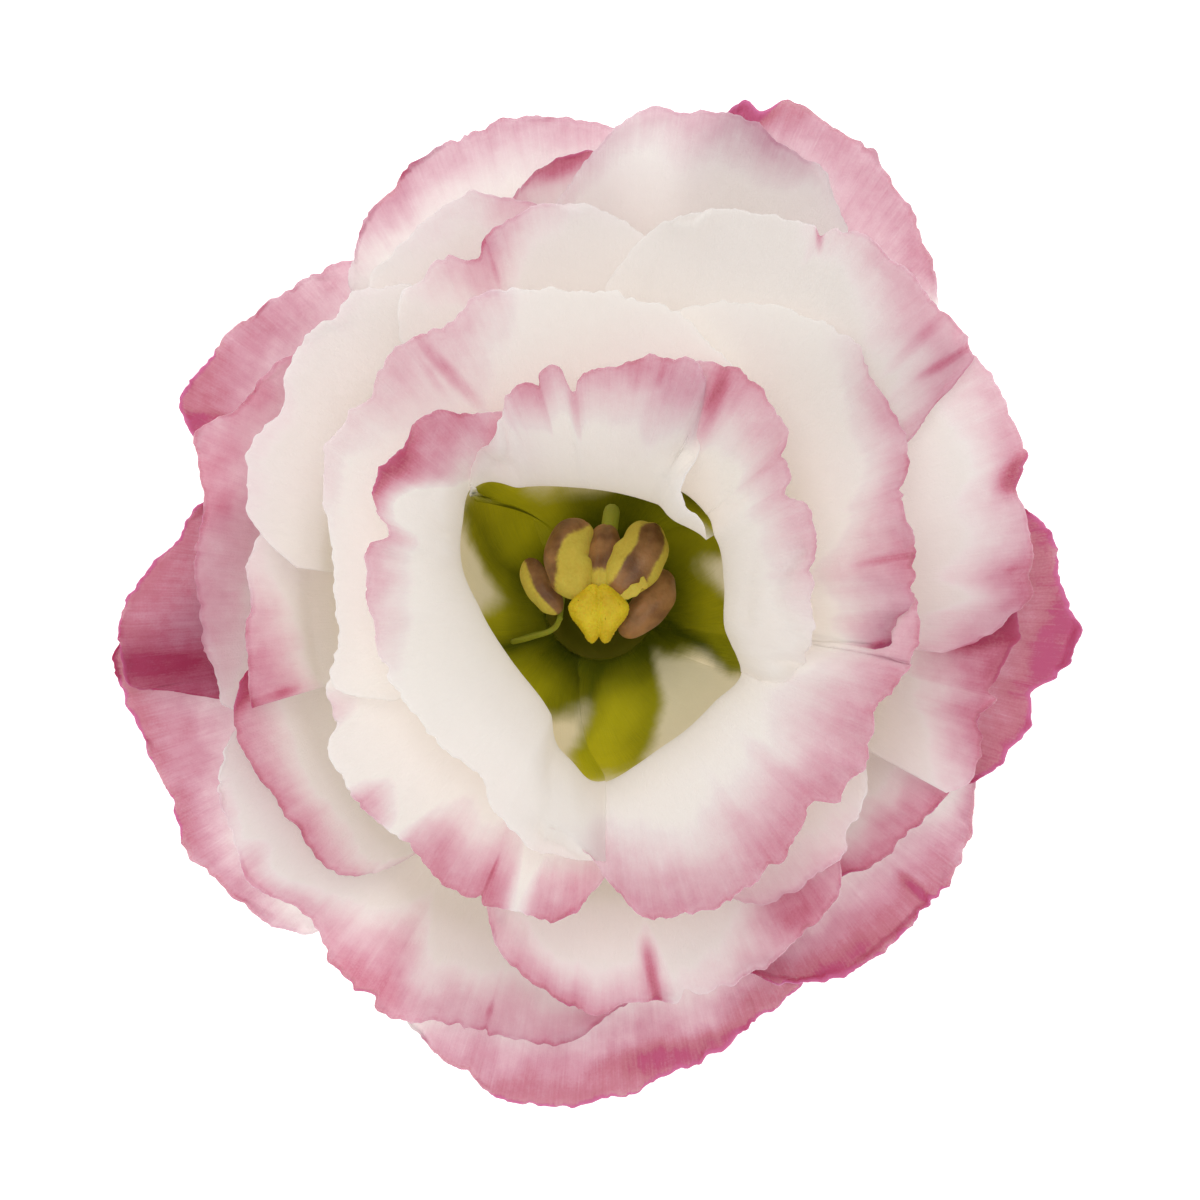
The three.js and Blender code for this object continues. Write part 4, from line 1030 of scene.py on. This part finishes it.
# ---- Stamens ----------------------------------------------------------------------------------
# Five stamens stand on the receptacle, close round the pistil, on thin pale filaments. Each anther
# is a long pod of two lobes, brown on the back, burst along its sides, where it shows its pollen.
FLATNESS = 0.75
HANG = 0.25
GROOVE = 0.3
GROOVE_WIDTH = 0.3
BLUNTNESS = 2.8
TORN_STAMEN = 4
STRIP_HALF = 0.3
STRIP_THICKNESS = 0.15
# For each stamen: the anther's middle line from its far end to the stigma and half its width; its
# pollen's share, then how that grows to its right side, to its far end and to its edges; and the
# path and thickness of the filament.
STAMENS = [
    ([(-5.5, 3.5, 19.4), (-4.6, 1.3, 20.8), (-3.0, -0.6, 21.2)], 1.1, (-0.25, 1.1, 0.0, 0.0),
     [(-2.85, 0.6, 6.6), (-3.4, -1.6, 9.6), (-5.4, -2.4, 13), (-6.6, -2.8, 16.2),
      (-5.0, -2.4, 18.4), (-3.5, -1.8, 19.5), (-3.0, -1.0, 20.6)], 0.2),
    ([(-1.1, 6.2, 20.6), (-2.5, 3.8, 23.2), (-1.5, 0.5, 24.1)], 1.8, (0.3, -0.95, -0.6, 0.0),
     [(-1.35, 2.55, 6.6), (-1.6, 2.9, 14), (-2.3, 3.6, 22.4)], 0.4),
    ([(0.5, 6.0, 20.4), (0.35, 4.1, 22.4), (0.0, 1.3, 24.0)], 1.3, (-0.75, 0.0, -1.2, 0.0),
     [(0.5, 2.85, 6.6), (0.7, 5.4, 13), (0.85, 6.9, 19.3), (0.6, 5.3, 20.8)], 0.62),
    ([(3.6, 6.0, 20.8), (3.1, 3.9, 23.4), (1.1, 0.7, 24.2)], 1.95, (-0.4, 0.55, 0.0, 1.6),
     [(2.3, 1.8, 6.6), (2.5, 2.4, 14), (3.0, 3.6, 22.6)], 0.4),
    ([(4.9, 2.6, 20.0), (4.0, 0.2, 22.2), (1.6, -2.3, 22.4)], 1.4, (-0.8, 0.0, 0.0, 0.0),
     [(2.8, -0.8, 6.6), (3.2, -0.6, 14), (4.0, 0.1, 21.0)], 0.4),
]


def line_at(line, at):
    """Places on a smooth line through three points, from -1 at the first to 1 at the last."""
    return np.stack([through(list(zip((-1, 0, 1), axis)), at) for axis in zip(*line)], axis=-1)


def ball(segments, rings):
    """A ball of radius 1, and its points' coordinates."""
    bpy.ops.object.select_all(action="DESELECT")
    bpy.ops.mesh.primitive_uv_sphere_add(segments=segments, ring_count=rings, radius=1)
    piece = bpy.context.object
    return piece, *points_of(piece).T


def tube(name, points, radius):
    """A closed rod along a smooth curve through the points, in millimetres."""
    curve = bpy.data.curves.new(name, "CURVE")
    curve.dimensions = "3D"
    curve.bevel_depth = radius * MM
    curve.bevel_resolution = 3
    curve.use_fill_caps = True
    curve.resolution_u = 10
    spline = curve.splines.new("BEZIER")
    spline.bezier_points.add(len(points) - 1)
    for handle, point in zip(spline.bezier_points, points):
        handle.co = Vector(point) * MM
        handle.handle_left_type = handle.handle_right_type = "AUTO"
    piece = bpy.data.objects.new(name, curve)
    bpy.context.collection.objects.link(piece)
    choose(piece)
    bpy.ops.object.convert(target="MESH")
    return bpy.context.object


anther_skin, shader, places = new_material("anther_skin")
grain = places.noise(4200, 2)
blots = places.noise(500, 3)
brown = blots.step(0.3, 0.7).colour(paint("#6f4a2c"), paint("#a87a4e"))
gold = (grain * 0.5 + blots * 0.9 - 0.2).clamped().colour(paint("#c0a636"), paint("#e0d05c"))
dusted = (places.mark("pollen") + 0.5 * blots + 0.15 * grain - 0.32).step(-0.12, 0.12)
pale = blots.colour(paint("#7d8a1a"), paint("#a9aa3e"))
surface = places.mark("stalk").step(0.4, 0.6).colour(dusted.colour(brown, gold), pale)
# The anther gives off a faint glow of its own colour: painted light that lifts it in the throat's
# shade.
plug(shader, {"Base Color": surface,
              "Emission Color": surface,
              "Emission Strength": 0.12,
              "Roughness": 0.55 + 0.3 * dusted,
              "Subsurface Weight": 0.3,
              "Subsurface Scale": 0.0008,
              "Normal": (grain * 0.5 + blots).bump(0.5, 0.00018)})

for number, (line, half, (share, aside, far, edges), path, radius) in enumerate(STAMENS, 1):
    anther, x, y, z = ball(72, 56)
    girth = np.sqrt(np.maximum(1 - y ** 2, 1e-6))
    swelled = np.maximum(1 - np.abs(y) ** BLUNTNESS, 0) ** 0.5 / girth
    level = z / girth
    dent = np.exp(-(x / girth / GROOVE_WIDTH) ** 2)
    groove = GROOVE * dent * np.sign(level) * np.abs(level) ** 0.5
    wave = 0.05 * np.sin(4 * y + 3 * x + number) + 0.03 * np.sin(9 * y - 5 * x)
    way = unit(line_at(line, y + 0.02) - line_at(line, y - 0.02))
    right = unit(np.stack([way[:, 1], -way[:, 0], 0 * y], axis=-1))
    raised = np.cross(right, way)
    wide = x * swelled * half * (1 + wave)
    thick = ((z - groove * girth * 0.6) * swelled * half * FLATNESS * (1 + wave)
             - HANG * half * x ** 2)
    place(anther, line_at(line, y) + right * wide[:, None] + raised * thick[:, None])
    dust = share + aside * x - far * y + edges * (x ** 2 + 0.6 * np.minimum(y, 0) ** 2)
    mark(anther, pollen=dust, stalk=0)
    filament = tube("filament", path, radius)
    mark(filament, pollen=0, stalk=1)
    pieces = [anther, filament]
    if number == TORN_STAMEN:
        # a pale strip torn from its wall lies across the stigma's shoulder
        strip, along, across = grid("strip", 40, 6)
        chance = np.random.default_rng(4)
        edge = STRIP_HALF * (1 + 0.5 * wander(chance, along * 3, 0.25))
        across = (across - 0.5) * 2 * edge
        place(strip, np.c_[0.7 + 2.8 * along - 0.5 * across, 0.2 + 1.6 * along ** 1.4 + across,
                           25.6 - 0.5 * along + 0.1 * np.sin(9 * along)])
        mark(strip, pollen=1, stalk=0)
        wall = strip.modifiers.new("wall", "SOLIDIFY")
        wall.thickness = STRIP_THICKNESS * MM
        apply_all(strip)
        pieces.append(strip)
    stamen = join(pieces, f"stamen_{number}_body")
    apply_all(stamen)
    stamen.data.materials.clear()
    stamen.data.materials.append(anther_skin)
    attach(stamen, "root")
    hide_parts(f"stamen_{number}")

# ---- Pistil -----------------------------------------------------------------------------------
# A green ovary grows on the receptacle, with a short style, and on it the stigma: two broad yellow
# lobes side by side, velvety with fine grains, and notched where they meet.
OVARY = [(1.4, 7.0), (1.75, 8.0), (1.95, 9.6), (2.0, 11.4), (1.85, 13.2), (1.4, 14.8), (0.95, 16.0),
         (0.75, 17.4), (0.68, 19.5), (0.68, 21.5), (0.8, 23.4), (1.0, 24.8)]
OVARY_SIDES = 32
OVARY_RIPPLE = 0.05
STYLE_LEANS = [(14, 0.0), (19, -0.1), (22.5, -0.45), (26, -0.6)]
LOBE_LENGTH = 2.25
LOBE_THICKNESS = 0.8
STIGMA_HEIGHT = 25.4
STIGMA_GRAIN = 0.09
STIGMA_ROUGHNESS = 0.022

ovary = turned("ovary", OVARY, OVARY_SIDES, OVARY_RIPPLE, ribs=2)
points = points_of(ovary)
points[:, 1] += through(STYLE_LEANS, points[:, 2] / MM) * MM
place(ovary, points, scale=1)
mark(ovary, ripe=0)

lobes = []
for way in (-1, 1):
    lobe, x, y, z = ball(64, 40)
    # a lobe is broadest at its shoulder and drawn in towards its lower end and its neck
    shoulder = np.exp(-((y - 0.15) / 0.55) ** 2)
    neck = smooth(y, 0.4, 1.0)
    blunt = np.maximum(1 - np.abs(y) ** 3, 0) ** 0.5 / np.sqrt(np.maximum(1 - y ** 2, 1e-6))
    width = (0.6 + 0.6 * shoulder + 0.1 * neck) * blunt
    aside = way * (0.5 + 0.6 * shoulder - 0.15 * neck)
    dimple = 0.15 * np.exp(-((x + 0.4 * way) ** 2 + (y + 0.1) ** 2) * 3) * (z > 0)
    place(lobe, np.c_[x * width + aside - 0.1,
                      np.sign(y) * np.abs(y) ** 0.9 * LOBE_LENGTH - 0.65,
                      z * LOBE_THICKNESS - dimple + STIGMA_HEIGHT - 0.25 * y ** 2 - 0.12 * x * way])
    lobes.append(lobe)
stigma = join(lobes, "stigma")
fused = stigma.modifiers.new("fused", "REMESH")
fused.mode = "VOXEL"
fused.voxel_size = STIGMA_GRAIN * MM
apply_all(stigma)
points = points_of(stigma)
grains = np.random.default_rng(11)
place(stigma, points + grains.normal(0, STIGMA_ROUGHNESS * MM, points.shape), scale=1)
mark(stigma, ripe=1)
pistil = join([ovary, stigma], "pistil_body")
apply_all(pistil)

pistil_skin, shader, places = new_material("pistil_skin")
grain = places.noise(4200, 2)
blots = places.noise(620, 2)
yellow = (grain * 0.5 + blots * 1.1 - 0.35).clamped().colour(paint("#c4a205"), paint("#ead62c"))
green = places.noise(700, 2).colour(paint("#6f8a1e"), paint("#a3b041"))
surface = places.mark("ripe").step(0.4, 0.6).colour(green, yellow)
# The pistil gives off a faint glow of its own colour: painted light that lifts it in the throat's
# shade.
plug(shader, {"Base Color": surface,
              "Emission Color": surface,
              "Emission Strength": 0.15,
              "Roughness": 0.65,
              "Subsurface Weight": 0.4,
              "Subsurface Scale": 0.001,
              "Normal": grain.bump(0.4, 0.00012)})
pistil.data.materials.append(pistil_skin)
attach(pistil, "root")
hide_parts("pistil")

# ---- Studio -----------------------------------------------------------------------------------
# A plain white floor, a soft light all round and one large soft lamp above. The camera looks
# straight down into the face of the bloom, from the height that the rims are drawn for.
VIEW_WIDTH = 90
SENSOR_WIDTH = 36
CAMERA_Y = 0.000375
LAMP_PLACE = (-0.14, 0.26, 1.15)
LAMP_AIM = (0, 0, 0.02)
LAMP_SIZE = 0.7
LAMP_POWER = 3.3
ROOM_LIGHT = 0.52

bpy.ops.object.select_all(action="DESELECT")
bpy.ops.mesh.primitive_plane_add(size=3, location=(0, 0, -0.00005))
floor = bpy.context.object
floor.name = "floor"
floor_white, shader, places = new_material("floor_white")
plug(shader, {"Base Color": (0.9, 0.9, 0.9, 1),
              "Roughness": 0.9,
              "Emission Color": (1, 1, 1, 1),
              "Emission Strength": 0.7})
floor.data.materials.append(floor_white)

world = bpy.data.worlds.new("soft_room")
bpy.context.scene.world = world
world.use_nodes = True
plug(world.node_tree.nodes["Background"].inputs, {"Color": (1, 0.985, 0.965, 1),
                                                  "Strength": ROOM_LIGHT})

lamp = bpy.data.lights.new("soft_box", "AREA")
lamp.shape = "SQUARE"
lamp.size = LAMP_SIZE
lamp.energy = LAMP_POWER
lamp.color = (1, 0.99, 0.975)
soft_box = bpy.data.objects.new("soft_box", lamp)
soft_box.location = LAMP_PLACE
soft_box.rotation_euler = (Vector(LAMP_AIM) - soft_box.location).to_track_quat("-Z", "Y").to_euler()
bpy.context.collection.objects.link(soft_box)

lens = bpy.data.cameras.new("camera")
lens.sensor_width = SENSOR_WIDTH
lens.lens = SENSOR_WIDTH * (EYE_HEIGHT - DRAWN_HEIGHT) / VIEW_WIDTH
lens.clip_start = 0.01
camera = bpy.data.objects.new("camera", lens)
camera.location = (0, CAMERA_Y, EYE_HEIGHT * MM)
bpy.context.collection.objects.link(camera)
bpy.context.scene.camera = camera
bpy.context.scene.view_settings.view_transform = "Standard"
